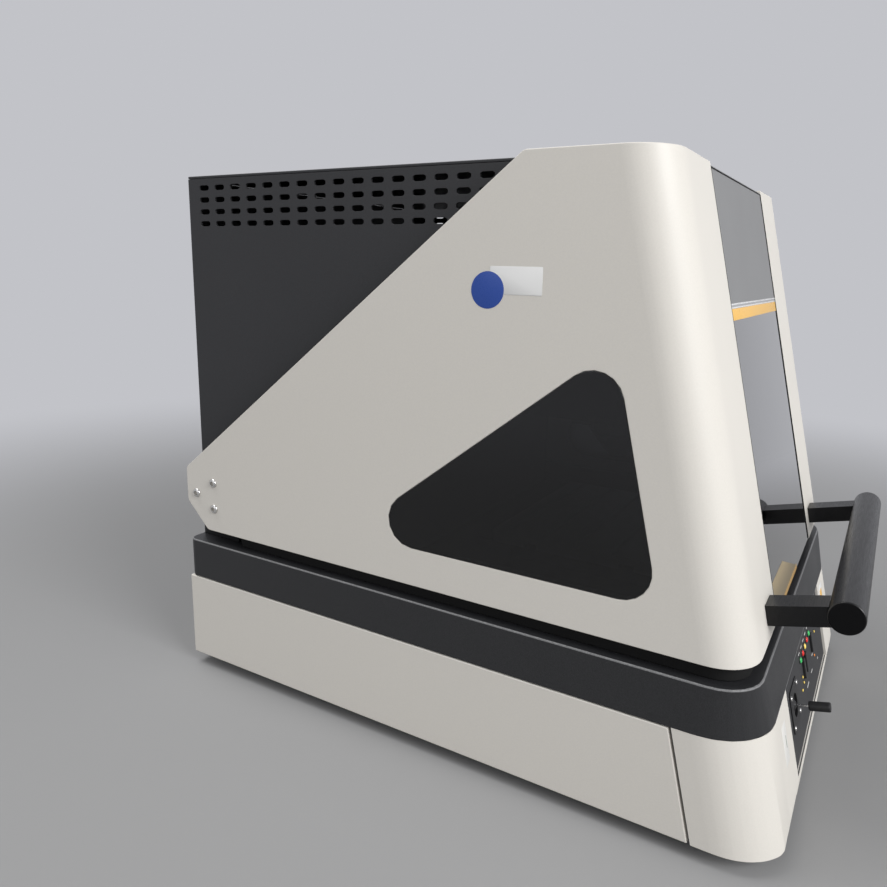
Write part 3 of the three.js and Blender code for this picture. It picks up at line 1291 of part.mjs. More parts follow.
function buildConsole() {
  const sillTop = FOOT_HEIGHT + SILL_HEIGHT;
  const middleZ = (sillTop + BASE_TOP) / 2;
  const frame = new THREE.Group();
  frame.position.set(0, frontAt(middleZ), middleZ);
  frame.rotation.x = -LEAN_ANGLE;
  part.add(frame);

  const halfWidth = COVER_INNER_HALF - CLEARANCE;
  const halfHeight = ((BASE_TOP - sillTop) / 2 - CONSOLE_MARGIN) / Math.cos(LEAN_ANGLE);
  const faceY = CONSOLE_RECESS;
  const backY = CONSOLE_RECESS + CONSOLE_SHEET;
  const lampPlaces = Array.from({ length: LAMP_COUNT }, (_, i) => LAMP_START_X + LAMP_PITCH * i);
  const through = [faceY - CUT_OVERRUN, backY + CUT_OVERRUN];
  const keyHoleHalf = [KEY_WIDTH / 2 + KEY_HOLE_GAP, KEY_HEIGHT / 2 + KEY_HOLE_GAP];
  const openings = [
    ...lampPlaces.map((x) => ringPoints(x, LAMP_RISE, LAMP_RADIUS + LAMP_HOLE_GAP, 12)),
    ...KEY_PLACES_X.map((x) => rectangle(...keyHoleHalf, x, KEY_RISE)),
    ringPoints(JOYSTICK_X, JOYSTICK_RISE, CUP_RADIUS + KEY_HOLE_GAP, 32),
  ].map((outline) => acrossY(outline, ...through));
  const panel = acrossY(rectangle(halfWidth, halfHeight), faceY, backY);
  mesh("console_panel", cut(panel, ...openings), "dark_case", frame);

  const boardY = backY + PANEL_BOARD_BACK;
  const boardLeft = Math.min(LAMP_START_X, ...KEY_PLACES_X) - PANEL_BOARD_MARGIN;
  const boardRight = Math.max(...lampPlaces, ...KEY_PLACES_X) + PANEL_BOARD_MARGIN;
  const boardLow = KEY_RISE - KEY_HEIGHT / 2 - PANEL_BOARD_MARGIN;
  const boardHigh = LAMP_RISE + LAMP_RADIUS + PANEL_BOARD_MARGIN / 2;
  const board = block(boardLeft, boardRight, boardY, boardY + PANEL_BOARD_SHEET, boardLow, boardHigh);
  const lampFront = faceY - LAMP_PROUD;
  const lampLength = boardY + PANEL_BOARD_SHEET / 2 - lampFront;
  const lamps = lampPlaces.map((x) =>
    rod("y", LAMP_RADIUS, lampLength, x, lampFront + lampLength / 2, LAMP_RISE, 16),
  );
  const postLength = PANEL_BOARD_BACK + PANEL_BOARD_SHEET / 2 - CLEARANCE;
  const posts = [boardLeft + LAMP_RADIUS, boardRight - LAMP_RADIUS].map((x) =>
    rod("y", LAMP_RADIUS, postLength, x, backY + CLEARANCE + postLength / 2, boardLow + LAMP_RADIUS, 12),
  );
  mesh("indicator_board", join(board, ...lamps, ...posts), "board_green", frame);

  const keyBack = boardY - KEY_TRAVEL - CLEARANCE;
  KEY_PLACES_X.forEach((x, i) => {
    const outline = rounded(rectangle(KEY_WIDTH / 2, KEY_HEIGHT / 2, x, KEY_RISE), KEY_CORNER, 2);
    mesh("panel_key_" + (i + 1), acrossY(outline, faceY - KEY_PROUD, keyBack), "black_plastic", frame);
  });

  const stick = new THREE.Group();
  stick.position.set(JOYSTICK_X, 0, JOYSTICK_RISE);
  frame.add(stick);
  const bezelOutline = rounded(rectangle(BEZEL_WIDTH / 2, BEZEL_HEIGHT / 2), BEZEL_CORNER, 3);
  const flangeFront = faceY - BEZEL_SHEET;
  const flange = acrossY(bezelOutline, flangeFront, faceY - CLEARANCE);
  const cupFront = flangeFront + BEZEL_SHEET / 2;
  const cup = rod("y", CUP_RADIUS, CUP_DEPTH, 0, cupFront + CUP_DEPTH / 2, 0, 32);
  const boreLength = CUP_DEPTH + BEZEL_SHEET / 2 - CUP_FLOOR;
  const boreCutter = rod(
    "y",
    CUP_BORE_RADIUS,
    boreLength + CUT_OVERRUN,
    0,
    flangeFront - CUT_OVERRUN + (boreLength + CUT_OVERRUN) / 2,
    0,
    32,
  );
  mesh("joystick_bezel", cut(join(flange, cup), boreCutter), "black_plastic", stick);

  const pivotY = flangeFront + PIVOT_DEPTH;
  const ball = new THREE.SphereGeometry(GIMBAL_RADIUS, 32, 16);
  const slab = block(
    -CUP_RADIUS,
    CUP_RADIUS,
    -GIMBAL_HALF_THICKNESS,
    GIMBAL_HALF_THICKNESS,
    -CUP_RADIUS,
    CUP_RADIUS,
  );
  const gimbalBore = rod("y", GIMBAL_BORE_RADIUS, 2 * CUP_RADIUS, 0, 0, 0, 24);
  const gimbal = cut(common(ball, slab), gimbalBore);
  mesh("joystick_gimbal", gimbal, "steel", stick).position.set(0, pivotY, 0);

  const knobBack = flangeFront - STICK_ROD_OUT - pivotY;
  const knobFront = knobBack - KNOB_LENGTH;
  const stickProfile = [
    [0, knobFront],
    [KNOB_RADIUS - KNOB_EDGE, knobFront],
    [KNOB_RADIUS, knobFront + KNOB_EDGE],
    [KNOB_RADIUS, knobBack - KNOB_EDGE],
    [KNOB_RADIUS - KNOB_EDGE, knobBack],
    [STICK_ROD_RADIUS, knobBack],
  ];
  const ballSteps = 8;
  const first = Math.asin(STICK_ROD_RADIUS / BALL_RADIUS);
  for (let step = 0; step <= ballSteps; step++) {
    const turn = first + ((Math.PI - first) * step) / ballSteps;
    stickProfile.push([Math.max(BALL_RADIUS * Math.sin(turn), 0), -BALL_RADIUS * Math.cos(turn)]);
  }
  stickProfile[stickProfile.length - 1][0] = 0;
  const stickBody = turned(stickProfile, 0, 0, 0, 16).rotateX(-Math.PI / 2);
  mesh("joystick_stick", stickBody, "black_plastic", stick).position.set(0, pivotY, 0);
}

buildBase();
buildTray();
buildHood();
buildHandle();
buildHousing();
buildFan();
buildInlet();
buildHingeBrackets();
buildStage();
buildHead();
buildElectronics();
buildConsole();

// The origin lies on the table under the middle of everything between the handle and the shells' tails.
part.position.y = -(BAR_Y - BAR_RADIUS + REAR_Y + SHELL_TAIL_OVERHANG) / 2;

export default part;
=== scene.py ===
import json
import math

import bmesh
import bpy
from mathutils import Matrix, Vector


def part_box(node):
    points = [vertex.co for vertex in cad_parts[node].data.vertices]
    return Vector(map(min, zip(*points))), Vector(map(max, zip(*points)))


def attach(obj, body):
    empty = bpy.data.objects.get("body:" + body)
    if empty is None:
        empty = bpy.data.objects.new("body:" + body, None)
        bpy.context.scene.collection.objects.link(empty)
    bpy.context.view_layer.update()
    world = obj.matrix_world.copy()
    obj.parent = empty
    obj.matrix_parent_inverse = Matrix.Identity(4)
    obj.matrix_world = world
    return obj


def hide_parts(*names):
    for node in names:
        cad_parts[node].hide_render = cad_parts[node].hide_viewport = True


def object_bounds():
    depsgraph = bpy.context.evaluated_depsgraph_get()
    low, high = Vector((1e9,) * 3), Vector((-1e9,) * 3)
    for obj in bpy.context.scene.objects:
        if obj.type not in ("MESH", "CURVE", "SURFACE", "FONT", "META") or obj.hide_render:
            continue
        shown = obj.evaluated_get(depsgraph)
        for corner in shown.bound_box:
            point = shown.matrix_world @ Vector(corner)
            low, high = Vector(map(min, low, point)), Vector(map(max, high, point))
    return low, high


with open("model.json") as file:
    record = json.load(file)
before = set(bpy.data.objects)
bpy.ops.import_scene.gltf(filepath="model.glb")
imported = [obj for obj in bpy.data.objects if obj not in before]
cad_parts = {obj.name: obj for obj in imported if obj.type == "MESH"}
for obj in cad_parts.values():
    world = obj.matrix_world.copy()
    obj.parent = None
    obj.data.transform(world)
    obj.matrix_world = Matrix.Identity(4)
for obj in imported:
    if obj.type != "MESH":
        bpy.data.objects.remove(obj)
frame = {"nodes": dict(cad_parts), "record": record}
nodes = frame["nodes"]
cad_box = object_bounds()
scene = bpy.context.scene


# View and room
# A wide view from beside the left front corner, a little above the floor, in soft studio light. The floor
# runs without a line into a plain pale grey surround, and both show in glass and metal as in the view.

VIEW_PLACE = Vector((-0.92528, -0.38231, 0.53807))
VIEW_RIGHT = Vector((0.51608, -0.85624, 0.02255))
VIEW_UP = Vector((0.18334, 0.13614, 0.97358))
VIEW_AHEAD = Vector((0.83669, 0.49831, -0.22724))
VIEW_LENS = 30.52

view_data = bpy.data.cameras.new("view_camera")
view_data.sensor_width = 36
view_data.lens = VIEW_LENS
view_data.clip_start = 0.01
view_camera = bpy.data.objects.new("view_camera", view_data)
turn = Matrix((VIEW_RIGHT, VIEW_UP, -VIEW_AHEAD)).transposed()
view_camera.matrix_world = Matrix.Translation(VIEW_PLACE) @ turn.to_4x4()
scene.collection.objects.link(view_camera)
scene.camera = view_camera
scene.view_settings.view_transform = "Standard"


def place(tree, kind, **settings):
    """A node of that kind in the tree, with its plain settings and its input values set."""
    made = tree.nodes.new(kind)
    for key, value in settings.items():
        if hasattr(made, key):
            setattr(made, key, value)
        else:
            made.inputs[key.replace("_", " ")].default_value = value
    return made


def link(tree, *pairs):
    """Joins each pair of (node, output name) and (node, input name)."""
    for (source, out), (target, into) in pairs:
        tree.links.new(source.outputs[out], target.inputs[into])


def seen_or_mirrored(tree):
    """A node that gives 1 to rays of the view, gloss and glass, and 0 to those that light the object."""
    path = place(tree, "ShaderNodeLightPath")
    seen = place(tree, "ShaderNodeMath", operation="ADD")
    either = place(tree, "ShaderNodeMath", operation="ADD", use_clamp=True)
    link(
        tree,
        ((path, "Is Camera Ray"), (seen, 0)),
        ((path, "Is Glossy Ray"), (seen, 1)),
        ((seen, 0), (either, 0)),
        ((path, "Is Transmission Ray"), (either, 1)),
    )
    return either


SURROUND_COLOUR = (0.54, 0.546, 0.578, 1)
SKY_COLOUR = (0.35, 0.352, 0.36, 1)
room = bpy.data.worlds.new("room")
scene.world = room
room.use_nodes = True
room_tree = room.node_tree
room_light = place(room_tree, "ShaderNodeBackground", Color=SKY_COLOUR, Strength=1.0)
room_seen = place(room_tree, "ShaderNodeBackground", Color=SURROUND_COLOUR, Strength=1.0)
room_mix = place(room_tree, "ShaderNodeMixShader")
link(
    room_tree,
    ((seen_or_mirrored(room_tree), 0), (room_mix, 0)),
    ((room_light, 0), (room_mix, 1)),
    ((room_seen, 0), (room_mix, 2)),
    ((room_mix, 0), (room_tree.nodes["World Output"], "Surface")),
)

FLOOR_REACH = 40
FLOOR_COLOUR = (0.31, 0.31, 0.312, 1)
FLOOR_FADE_START, FLOOR_FADE_END = 0.8, 2.4
floor_mesh = bpy.data.meshes.new("floor")
floor_corners = [(-FLOOR_REACH, -FLOOR_REACH, 0), (FLOOR_REACH, -FLOOR_REACH, 0)]
floor_corners += [(FLOOR_REACH, FLOOR_REACH, 0), (-FLOOR_REACH, FLOOR_REACH, 0)]
floor_mesh.from_pydata(floor_corners, [], [(0, 1, 2, 3)])
floor_paint = bpy.data.materials.new("floor_paint")
floor_paint.use_nodes = True
floor_tree = floor_paint.node_tree
floor_shader = floor_tree.nodes["Principled BSDF"]
floor_shader.inputs["Base Color"].default_value = FLOOR_COLOUR
floor_shader.inputs["Roughness"].default_value = 0.9
floor_place = place(floor_tree, "ShaderNodeTexCoord")
floor_distance = place(floor_tree, "ShaderNodeVectorMath", operation="LENGTH")
floor_fade = place(
    floor_tree,
    "ShaderNodeMapRange",
    interpolation_type="SMOOTHSTEP",
    From_Min=FLOOR_FADE_START,
    From_Max=FLOOR_FADE_END,
)
floor_share = place(floor_tree, "ShaderNodeMath", operation="MULTIPLY")
floor_far = place(floor_tree, "ShaderNodeEmission", Color=SURROUND_COLOUR)
floor_mix = place(floor_tree, "ShaderNodeMixShader")
link(
    floor_tree,
    ((floor_place, "Object"), (floor_distance, 0)),
    ((floor_distance, "Value"), (floor_fade, "Value")),
    ((floor_fade, 0), (floor_share, 0)),
    ((seen_or_mirrored(floor_tree), 0), (floor_share, 1)),
    ((floor_share, 0), (floor_mix, 0)),
    ((floor_shader, 0), (floor_mix, 1)),
    ((floor_far, 0), (floor_mix, 2)),
    ((floor_mix, 0), (floor_tree.nodes["Material Output"], "Surface")),
)
floor_mesh.materials.append(floor_paint)
floor = bpy.data.objects.new("floor", floor_mesh)
scene.collection.objects.link(floor)


def soft_lamp(name, spot, size, power):
    """A square studio lamp that faces the middle of the object."""
    data = bpy.data.lights.new(name, "AREA")
    data.size = size
    data.energy = power
    lamp = bpy.data.objects.new(name, data)
    lamp.location = spot
    middle = (cad_box[0] + cad_box[1]) / 2
    lamp.rotation_euler = (middle - Vector(spot)).to_track_quat("-Z", "Y").to_euler()
    scene.collection.objects.link(lamp)


soft_lamp("front_lamp", (-0.95, -3.2, 2.0), 2.0, 112)
soft_lamp("side_lamp", (-3.2, 0.6, 1.8), 2.0, 13)
soft_lamp("top_lamp", (-0.5, 1.3, 2.9), 1.6, 42)


# Base panels
# The pale skirt of the base: two side panels and a rear panel of folded steel sheet, screwed to the base
# pan and powder coated in a warm off-white with a faint orange peel.


def new_group(name, inputs, outputs):
    """A shader node group with named sockets; each input gives its socket type and first value."""
    tree = bpy.data.node_groups.new(name, "ShaderNodeTree")
    for label, (kind, value) in inputs.items():
        tree.interface.new_socket(label, in_out="INPUT", socket_type=kind).default_value = value
    for label, kind in outputs.items():
        tree.interface.new_socket(label, in_out="OUTPUT", socket_type=kind)
    return tree, tree.nodes.new("NodeGroupInput"), tree.nodes.new("NodeGroupOutput")


COLOUR, NUMBER, ARROW = "NodeSocketColor", "NodeSocketFloat", "NodeSocketVector"

coat_grain, coat_in, coat_out = new_group(
    "coat_grain",
    {
        "Colour": (COLOUR, (0.5, 0.5, 0.5, 1)),
        "Grains per Metre": (NUMBER, 900.0),
        "Contrast": (NUMBER, 0.1),
        "Roughness": (NUMBER, 0.5),
    },
    {"Colour": COLOUR, "Roughness": NUMBER, "Height": NUMBER},
)

grain_place = place(coat_grain, "ShaderNodeTexCoord")
grain = place(coat_grain, "ShaderNodeTexNoise", Detail=3.0, Roughness=0.6)
cloud = place(coat_grain, "ShaderNodeTexNoise", Scale=7.0, Detail=2.0)
NOISE_SPAN = {"From_Min": 0.3, "From_Max": 0.7}
FULL_SWING = {"To_Min": -1.0, "To_Max": 1.0}
grain_swing = place(coat_grain, "ShaderNodeMapRange", **NOISE_SPAN, **FULL_SWING)
cloud_swing = place(coat_grain, "ShaderNodeMapRange", **NOISE_SPAN, To_Min=-0.045, To_Max=0.045)
tint_share = place(coat_grain, "ShaderNodeMath", operation="MULTIPLY_ADD")
tint_share.inputs[2].default_value = 1.0
tinted = place(coat_grain, "ShaderNodeVectorMath", operation="SCALE")
gloss = place(coat_grain, "ShaderNodeMath", operation="MULTIPLY_ADD")
gloss.inputs[1].default_value = 0.06
gloss_cloud = place(coat_grain, "ShaderNodeMath", operation="ADD")
link(
    coat_grain,
    ((grain_place, "Object"), (grain, "Vector")),
    ((grain_place, "Object"), (cloud, "Vector")),
    ((coat_in, "Grains per Metre"), (grain, "Scale")),
    ((grain, 0), (grain_swing, "Value")),
    ((cloud, 0), (cloud_swing, "Value")),
    ((grain_swing, 0), (tint_share, 0)),
    ((coat_in, "Contrast"), (tint_share, 1)),
    ((coat_in, "Colour"), (tinted, 0)),
    ((tint_share, 0), (tinted, "Scale")),
    ((tinted, 0), (coat_out, "Colour")),
    ((grain_swing, 0), (gloss, 0)),
    ((coat_in, "Roughness"), (gloss, 2)),
    ((gloss, 0), (gloss_cloud, 0)),
    ((cloud_swing, 0), (gloss_cloud, 1)),
    ((gloss_cloud, 0), (coat_out, "Roughness")),
    ((grain, 0), (coat_out, "Height")),
)


def grained(name, group, values, relief, strength=0.4, metallic=0.0, specular=0.5):
    """A material that takes its colour, roughness and relief, a depth in metres, from one grain group."""
    material = bpy.data.materials.new(name)
    material.use_nodes = True
    tree = material.node_tree
    shader = tree.nodes["Principled BSDF"]
    shader.inputs["Metallic"].default_value = metallic
    shader.inputs["Specular IOR Level"].default_value = specular
    source = tree.nodes.new("ShaderNodeGroup")
    source.node_tree = group
    for label, value in values.items():
        source.inputs[label].default_value = value
    bump = place(tree, "ShaderNodeBump", Distance=relief, Strength=strength)
    link(
        tree,
        ((source, "Colour"), (shader, "Base Color")),
        ((source, "Roughness"), (shader, "Roughness")),
        ((source, "Height"), (bump, "Height")),
        ((bump, "Normal"), (shader, "Normal")),
    )
    return material


pale_coat = grained(
    "pale_coat",
    coat_grain,
    {"Colour": (0.74, 0.71, 0.655, 1), "Grains per Metre": 620.0, "Contrast": 0.018, "Roughness": 0.5},
    0.00012,
    0.22,
)


def shaded_smooth(mesh, crease=32):
    """Smooth shading that stays crisp at every edge sharper than the crease angle, in degrees."""
    mesh.polygons.foreach_set("use_smooth", [True] * len(mesh.polygons))
    mesh.set_sharp_from_angle(angle=math.radians(crease))


def add_piece(name, mesh, material, body):
    """An object for the mesh that rides on a body, with its finish."""
    mesh.materials.clear()
    mesh.materials.append(material)
    piece = bpy.data.objects.new(name, mesh)
    scene.collection.objects.link(piece)
    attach(piece, body)
    return piece


BODIES = frame["record"]["behaviour"]["bodies"]
BODY_OF = {node: body for body, members in BODIES.items() for node in members}

EASED_FACET = 0.006
EASED_FROM, EASED_TO = math.radians(5), math.radians(20)
UPRIGHT_SHARE = 0.7
SLIVER = 0.0009
WELD = 2e-6
FLAT_ANGLE, SHARP_ANGLE = math.radians(0.4), math.radians(32)
# Heights of face normals between which faces take the painted edge highlight.
HIGHLIGHT_FROM, HIGHLIGHT_TO = 0.3, 0.97


def eased_curves(shape):
    """Turns each upright bend of a few flat facets into a fine curve, by rounding the edges between them."""
    soft = []
    widths = []
    for e in shape.edges:
        along = e.verts[1].co - e.verts[0].co
        if len(e.link_faces) == 2 and abs(along.z) > UPRIGHT_SHARE * along.length:
            width = min(face.calc_area() / along.length for face in e.link_faces)
            if EASED_FROM < e.calc_face_angle() < EASED_TO and width > EASED_FACET:
                soft.append(e)
                widths.append(width)
    bmesh.ops.bevel(
        shape,
        geom=soft,
        offset=0.46 * min(widths),
        segments=3,
        profile=0.5,
        affect="EDGES",
        clamp_overlap=True,
    )


def refined(node, material, edge=0.0008, steps=2, eased=False, painted_highlight=None):
    """Stands for a CAD solid: edges rounded, curves smooth; a second finish, if given, is a painted highlight
    on the rounded edges and the upward-leaning faces.
    """
    shape = bmesh.new()
    shape.from_mesh(nodes[node].data)
    bmesh.ops.remove_doubles(shape, verts=shape.verts, dist=WELD)
    bmesh.ops.dissolve_limit(shape, angle_limit=FLAT_ANGLE, verts=shape.verts, edges=shape.edges)
    for face in shape.faces:
        face.material_index = 0
    if eased:
        bmesh.ops.remove_doubles(shape, verts=shape.verts, dist=SLIVER)
        eased_curves(shape)
    sharp = [e for e in shape.edges if len(e.link_faces) == 2 and e.calc_face_angle() > SHARP_ANGLE]
    if edge:
        bmesh.ops.bevel(
            shape,
            geom=sharp,
            offset=edge,
            segments=steps,
            profile=0.5,
            affect="EDGES",
            clamp_overlap=True,
            material=1 if painted_highlight else -1,
        )
    mesh = bpy.data.meshes.new(node + "_shape")
    shape.to_mesh(mesh)
    shape.free()
    shaded_smooth(mesh, 40)
    piece = add_piece(node + "_dressed", mesh, material, BODY_OF[node])
    # The second finish on the rounded edges and on the upward-leaning faces is a painted highlight.
    if painted_highlight:
        mesh.materials.append(painted_highlight)
        for face in mesh.polygons:
            if HIGHLIGHT_FROM < face.normal.z < HIGHLIGHT_TO:
                face.material_index = 1
    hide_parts(node)
    even = piece.modifiers.new("flat_faces_stay_flat", "WEIGHTED_NORMAL")
    even.keep_sharp = True
    return piece


SHEET_BEND = 0.0016
for node in ("base_panel_left", "base_panel_right", "base_panel_rear"):
    refined(node, pale_coat, SHEET_BEND, 3)


# Screws
# Zinc-plated button-head screws with a hexagon socket hold the sheet parts; the largest, M6, hold the hood
# shells to the hinge plates.

steel_grain, steel_in, steel_out = new_group(
    "brushed_metal",
    {
        "Colour": (COLOUR, (0.5, 0.5, 0.5, 1)),
        "Stretch": (ARROW, (60.0, 2500.0, 2500.0)),
        "Contrast": (NUMBER, 0.12),
        "Roughness": (NUMBER, 0.35),
    },
    {"Colour": COLOUR, "Roughness": NUMBER, "Height": NUMBER},
)
stroke_place = place(steel_grain, "ShaderNodeTexCoord")
stroke_stretch = place(steel_grain, "ShaderNodeVectorMath", operation="MULTIPLY")
stroke = place(steel_grain, "ShaderNodeTexNoise", Scale=1.0, Detail=3.0)
stroke_swing = place(steel_grain, "ShaderNodeMapRange", **NOISE_SPAN, **FULL_SWING)
stroke_share = place(steel_grain, "ShaderNodeMath", operation="MULTIPLY_ADD")
stroke_share.inputs[2].default_value = 1.0
stroke_tint = place(steel_grain, "ShaderNodeVectorMath", operation="SCALE")
stroke_gloss = place(steel_grain, "ShaderNodeMath", operation="MULTIPLY_ADD")
stroke_gloss.inputs[1].default_value = 0.08
link(
    steel_grain,
    ((stroke_place, "Object"), (stroke_stretch, 0)),
    ((steel_in, "Stretch"), (stroke_stretch, 1)),
    ((stroke_stretch, 0), (stroke, "Vector")),
    ((stroke, 0), (stroke_swing, "Value")),
    ((stroke_swing, 0), (stroke_share, 0)),
    ((steel_in, "Contrast"), (stroke_share, 1)),
    ((steel_in, "Colour"), (stroke_tint, 0)),
    ((stroke_share, 0), (stroke_tint, "Scale")),
    ((stroke_tint, 0), (steel_out, "Colour")),
    ((stroke_swing, 0), (stroke_gloss, 0)),
    ((steel_in, "Roughness"), (stroke_gloss, 2)),
    ((stroke_gloss, 0), (steel_out, "Roughness")),
    ((stroke, 0), (steel_out, "Height")),
)

zinc_steel = grained(
    "zinc_steel",
    steel_grain,
    {"Colour": (0.68, 0.67, 0.65, 1), "Stretch": (900, 900, 900), "Contrast": 0.06, "Roughness": 0.24},
    0.00003,
    0.2,
    1.0,
)

SCREW_SIDES = 24
OUT_OF = {"left": Vector((-1, 0, 0)), "rear": Vector((0, 1, 0)), "right": Vector((1, 0, 0))}


def stand_on(spot, outward, up=Vector((0, 0, 1))):
    """A matrix whose Z runs outward from the spot, and whose Y runs as near to up as it can."""
    along_z = outward.normalized()
    along_x = up.cross(along_z).normalized()
    along_y = along_z.cross(along_x)
    turned_axes = Matrix((along_x, along_y, along_z)).transposed().to_4x4()
    return Matrix.Translation(spot) @ turned_axes


def ring_skin(rings):
    """A closed skin over rings of equal point counts, capped flat at both ends."""
    count = len(rings[0])
    points = [point for ring in rings for point in ring]
    faces = [tuple(reversed(range(count)))]
    for level in range(len(rings) - 1):
        low = level * count
        for i in range(count):
            j = (i + 1) % count
            faces.append((low + i, low + j, low + count + j, low + count + i))
    top = (len(rings) - 1) * count
    faces.append(tuple(range(top, top + count)))
    return points, faces


def skin_mesh(name, rings, matrix=None, crease=32):
    """A mesh of such a skin, put in place by the matrix."""
    points, faces = ring_skin(rings)
    mesh = bpy.data.meshes.new(name)
    mesh.from_pydata([tuple(matrix @ Vector(p)) if matrix else tuple(p) for p in points], [], faces)
    shape = bmesh.new()
    shape.from_mesh(mesh)
    bmesh.ops.recalc_face_normals(shape, faces=shape.faces)
    shape.to_mesh(mesh)
    shape.free()
    shaded_smooth(mesh, crease)
    return mesh


def circle(radius, height, sides=SCREW_SIDES):
    """Points of a level circle round the Z axis."""
    turns = [2 * math.pi * i / sides for i in range(sides)]
    return [(radius * math.cos(a), radius * math.sin(a), height) for a in turns]


def hexagon(radius, height, sides=SCREW_SIDES):
    """Points of a level hexagon round the Z axis, as many as a circle has."""
    points = []
    for i in range(sides):
        a = 2 * math.pi * i / sides
        across = radius * math.cos(math.pi / 6) / math.cos((a % (math.pi / 3)) - math.pi / 6)
        points.append((across * math.cos(a), across * math.sin(a), height))
    return points


DOME_LEAN, DOME_STEPS = math.radians(52), (0.35, 0.65, 0.85, 1.0)
RIM_HEIGHT, DOME_HEIGHT = 0.08, 0.52
SOCKET_RINGS = ((circle, 0.56, 0.012), (hexagon, 0.5, 0.0), (hexagon, 0.46, -0.62), (circle, 0.1, -0.7))


def button_screw(name, spot, outward, radius, body):
    """A button head with a hexagon socket, seated on the spot; its heights are shares of its radius."""
    rings = [circle(radius, -radius * 0.02), circle(radius, radius * RIM_HEIGHT)]
    for share in DOME_STEPS:
        lean = share * DOME_LEAN
        rings.append(circle(radius * math.cos(lean), radius * (RIM_HEIGHT + DOME_HEIGHT * math.sin(lean))))
    crown = rings[-1][0][2]
    rings += [ring(radius * share, crown + radius * rise) for ring, share, rise in SOCKET_RINGS]
    add_piece(name, skin_mesh(name, rings, stand_on(Vector(spot), outward)), zinc_steel, body)


REAR_SCREW_RADIUS, REAR_INSET_X, REAR_INSET_Z, REAR_INNER_X = 0.0035, 0.02, 0.014, 0.09
rear_low, rear_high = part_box("base_panel_rear")
rear_columns = (rear_low.x + REAR_INSET_X, -REAR_INNER_X, REAR_INNER_X, rear_high.x - REAR_INSET_X)
for i, x in enumerate(rear_columns):
    for j, z in enumerate((rear_low.z + REAR_INSET_Z, rear_high.z - REAR_INSET_Z)):
        name = f"rear_panel_screw_{i + 1}_{j + 1}"
        button_screw(name, (x, rear_high.y, z), OUT_OF["rear"], REAR_SCREW_RADIUS, "chassis")


# Corner covers and sill
# Each front corner of the base is one pale steel wrap that follows the sloping front round a 60 mm corner,
# and carries small plain films. A low sill ties the two below the control panel; a thin dark film along its
# top is painted shade for a shadowed groove.

for node in ("corner_cover_left", "corner_cover_right"):
    refined(node, pale_coat, SHEET_BEND, 3, True)
refined("front_sill", pale_coat, 0.0009, 3)

FRONT_SLOPE = 0.248
FRONT_LEAN = math.atan(FRONT_SLOPE)
OUTWARD = Vector((0, -math.cos(FRONT_LEAN), math.sin(FRONT_LEAN)))
UPWARD = Vector((0, math.sin(FRONT_LEAN), math.cos(FRONT_LEAN)))
tray_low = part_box("deck_tray")[0]
FRONT_FOOT = Vector((0, tray_low.y, tray_low.z))


def on_front(x, z, out=0.0):
    """The point of the sloping front at that width and height, or so far in front of it."""
    rise = (z - FRONT_FOOT.z) / math.cos(FRONT_LEAN)
    return Vector((x, 0, 0)) + FRONT_FOOT + UPWARD * rise + OUTWARD * out


def rounded_plate(name, half_width, half_height, corner, thick, matrix, rim=0.3, steps=5):
    """A thin plate with round corners and a rounded outer rim, standing on the matrix's XY plane."""

    def outline(inset, height):
        points = []
        inner = max(corner - inset, 1e-5)
        for cx, cy, first in ((1, 1, 0), (-1, 1, 1), (-1, -1, 2), (1, -1, 3)):
            for step in range(steps + 1):
                a = (first + step / steps) * math.pi / 2
                x = cx * (half_width - corner) + inner * math.cos(a)
                y = cy * (half_height - corner) + inner * math.sin(a)
                points.append((x, y, height))
        return points

    edge = thick * rim
    levels = ((0, 0), (0, thick - edge), (edge * 0.4, thick - edge * 0.3), (edge, thick))
    return skin_mesh(name, [outline(inset, height) for inset, height in levels], matrix)


def plain_paint(name, colour, roughness, contrast=0.03, grains=1500.0):
    """A smooth printed or painted film with a trace of grain."""
    values = {"Colour": (*colour, 1), "Grains per Metre": grains, "Contrast": contrast}
    return grained(name, coat_grain, {**values, "Roughness": roughness}, 0.00002, 0.2)


yellow_film = plain_paint("yellow_film", (0.90, 0.52, 0.10), 0.35)
white_film = plain_paint("white_film", (0.84, 0.84, 0.83), 0.35, 0.01)
faint_film = plain_paint("faint_film", (0.80, 0.79, 0.76), 0.4, 0.01)
green_film = plain_paint("green_film", (0.13, 0.19, 0.11), 0.4)
COVER_FILMS = (
    ("cover_label_left", -0.193, 0.094, 0.0100, 0.0200, 0.00012, faint_film),
    ("cover_rule_left", -0.189, 0.094, 0.0006, 0.0062, 0.00020, green_film),
    ("cover_label_right", 0.184, 0.102, 0.0140, 0.0200, 0.00012, white_film),
    ("cover_plate_right", 0.184, 0.100, 0.0095, 0.0150, 0.00020, yellow_film),
)
for name, x, z, half_width, half_height, thick, film in COVER_FILMS:
    seat = stand_on(on_front(x, z), OUTWARD, UPWARD)
    film_mesh = rounded_plate(name, half_width, half_height, half_width * 0.1, thick, seat)
    add_piece(name, film_mesh, film, "chassis")

sill_low, sill_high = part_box("front_sill")
# Painted shade: a thin dark film along the sill's top stands for the shadow in a groove.
groove_shade = plain_paint("groove_shade", (0.03, 0.03, 0.032), 0.6)
GROOVE_SETBACK, GROOVE_END = 0.0017, 0.002
groove_spot = Vector((0, sill_low.y + GROOVE_SETBACK, sill_high.z))
groove_seat = stand_on(groove_spot, Vector((0, 0, 1)), Vector((0, 1, 0)))
groove_mesh = rounded_plate("sill_groove_shade", sill_high.x - GROOVE_END, 0.0005, 0.0002, 0.0001, groove_seat)
add_piece("sill_groove_shade", groove_mesh, groove_shade, "chassis")


# Base pan and feet
# The pan is the steel tub that carries the instrument; it stands on four moulded rubber feet with a screwed
# neck, set well back so that the base seems to float on a dark gap.

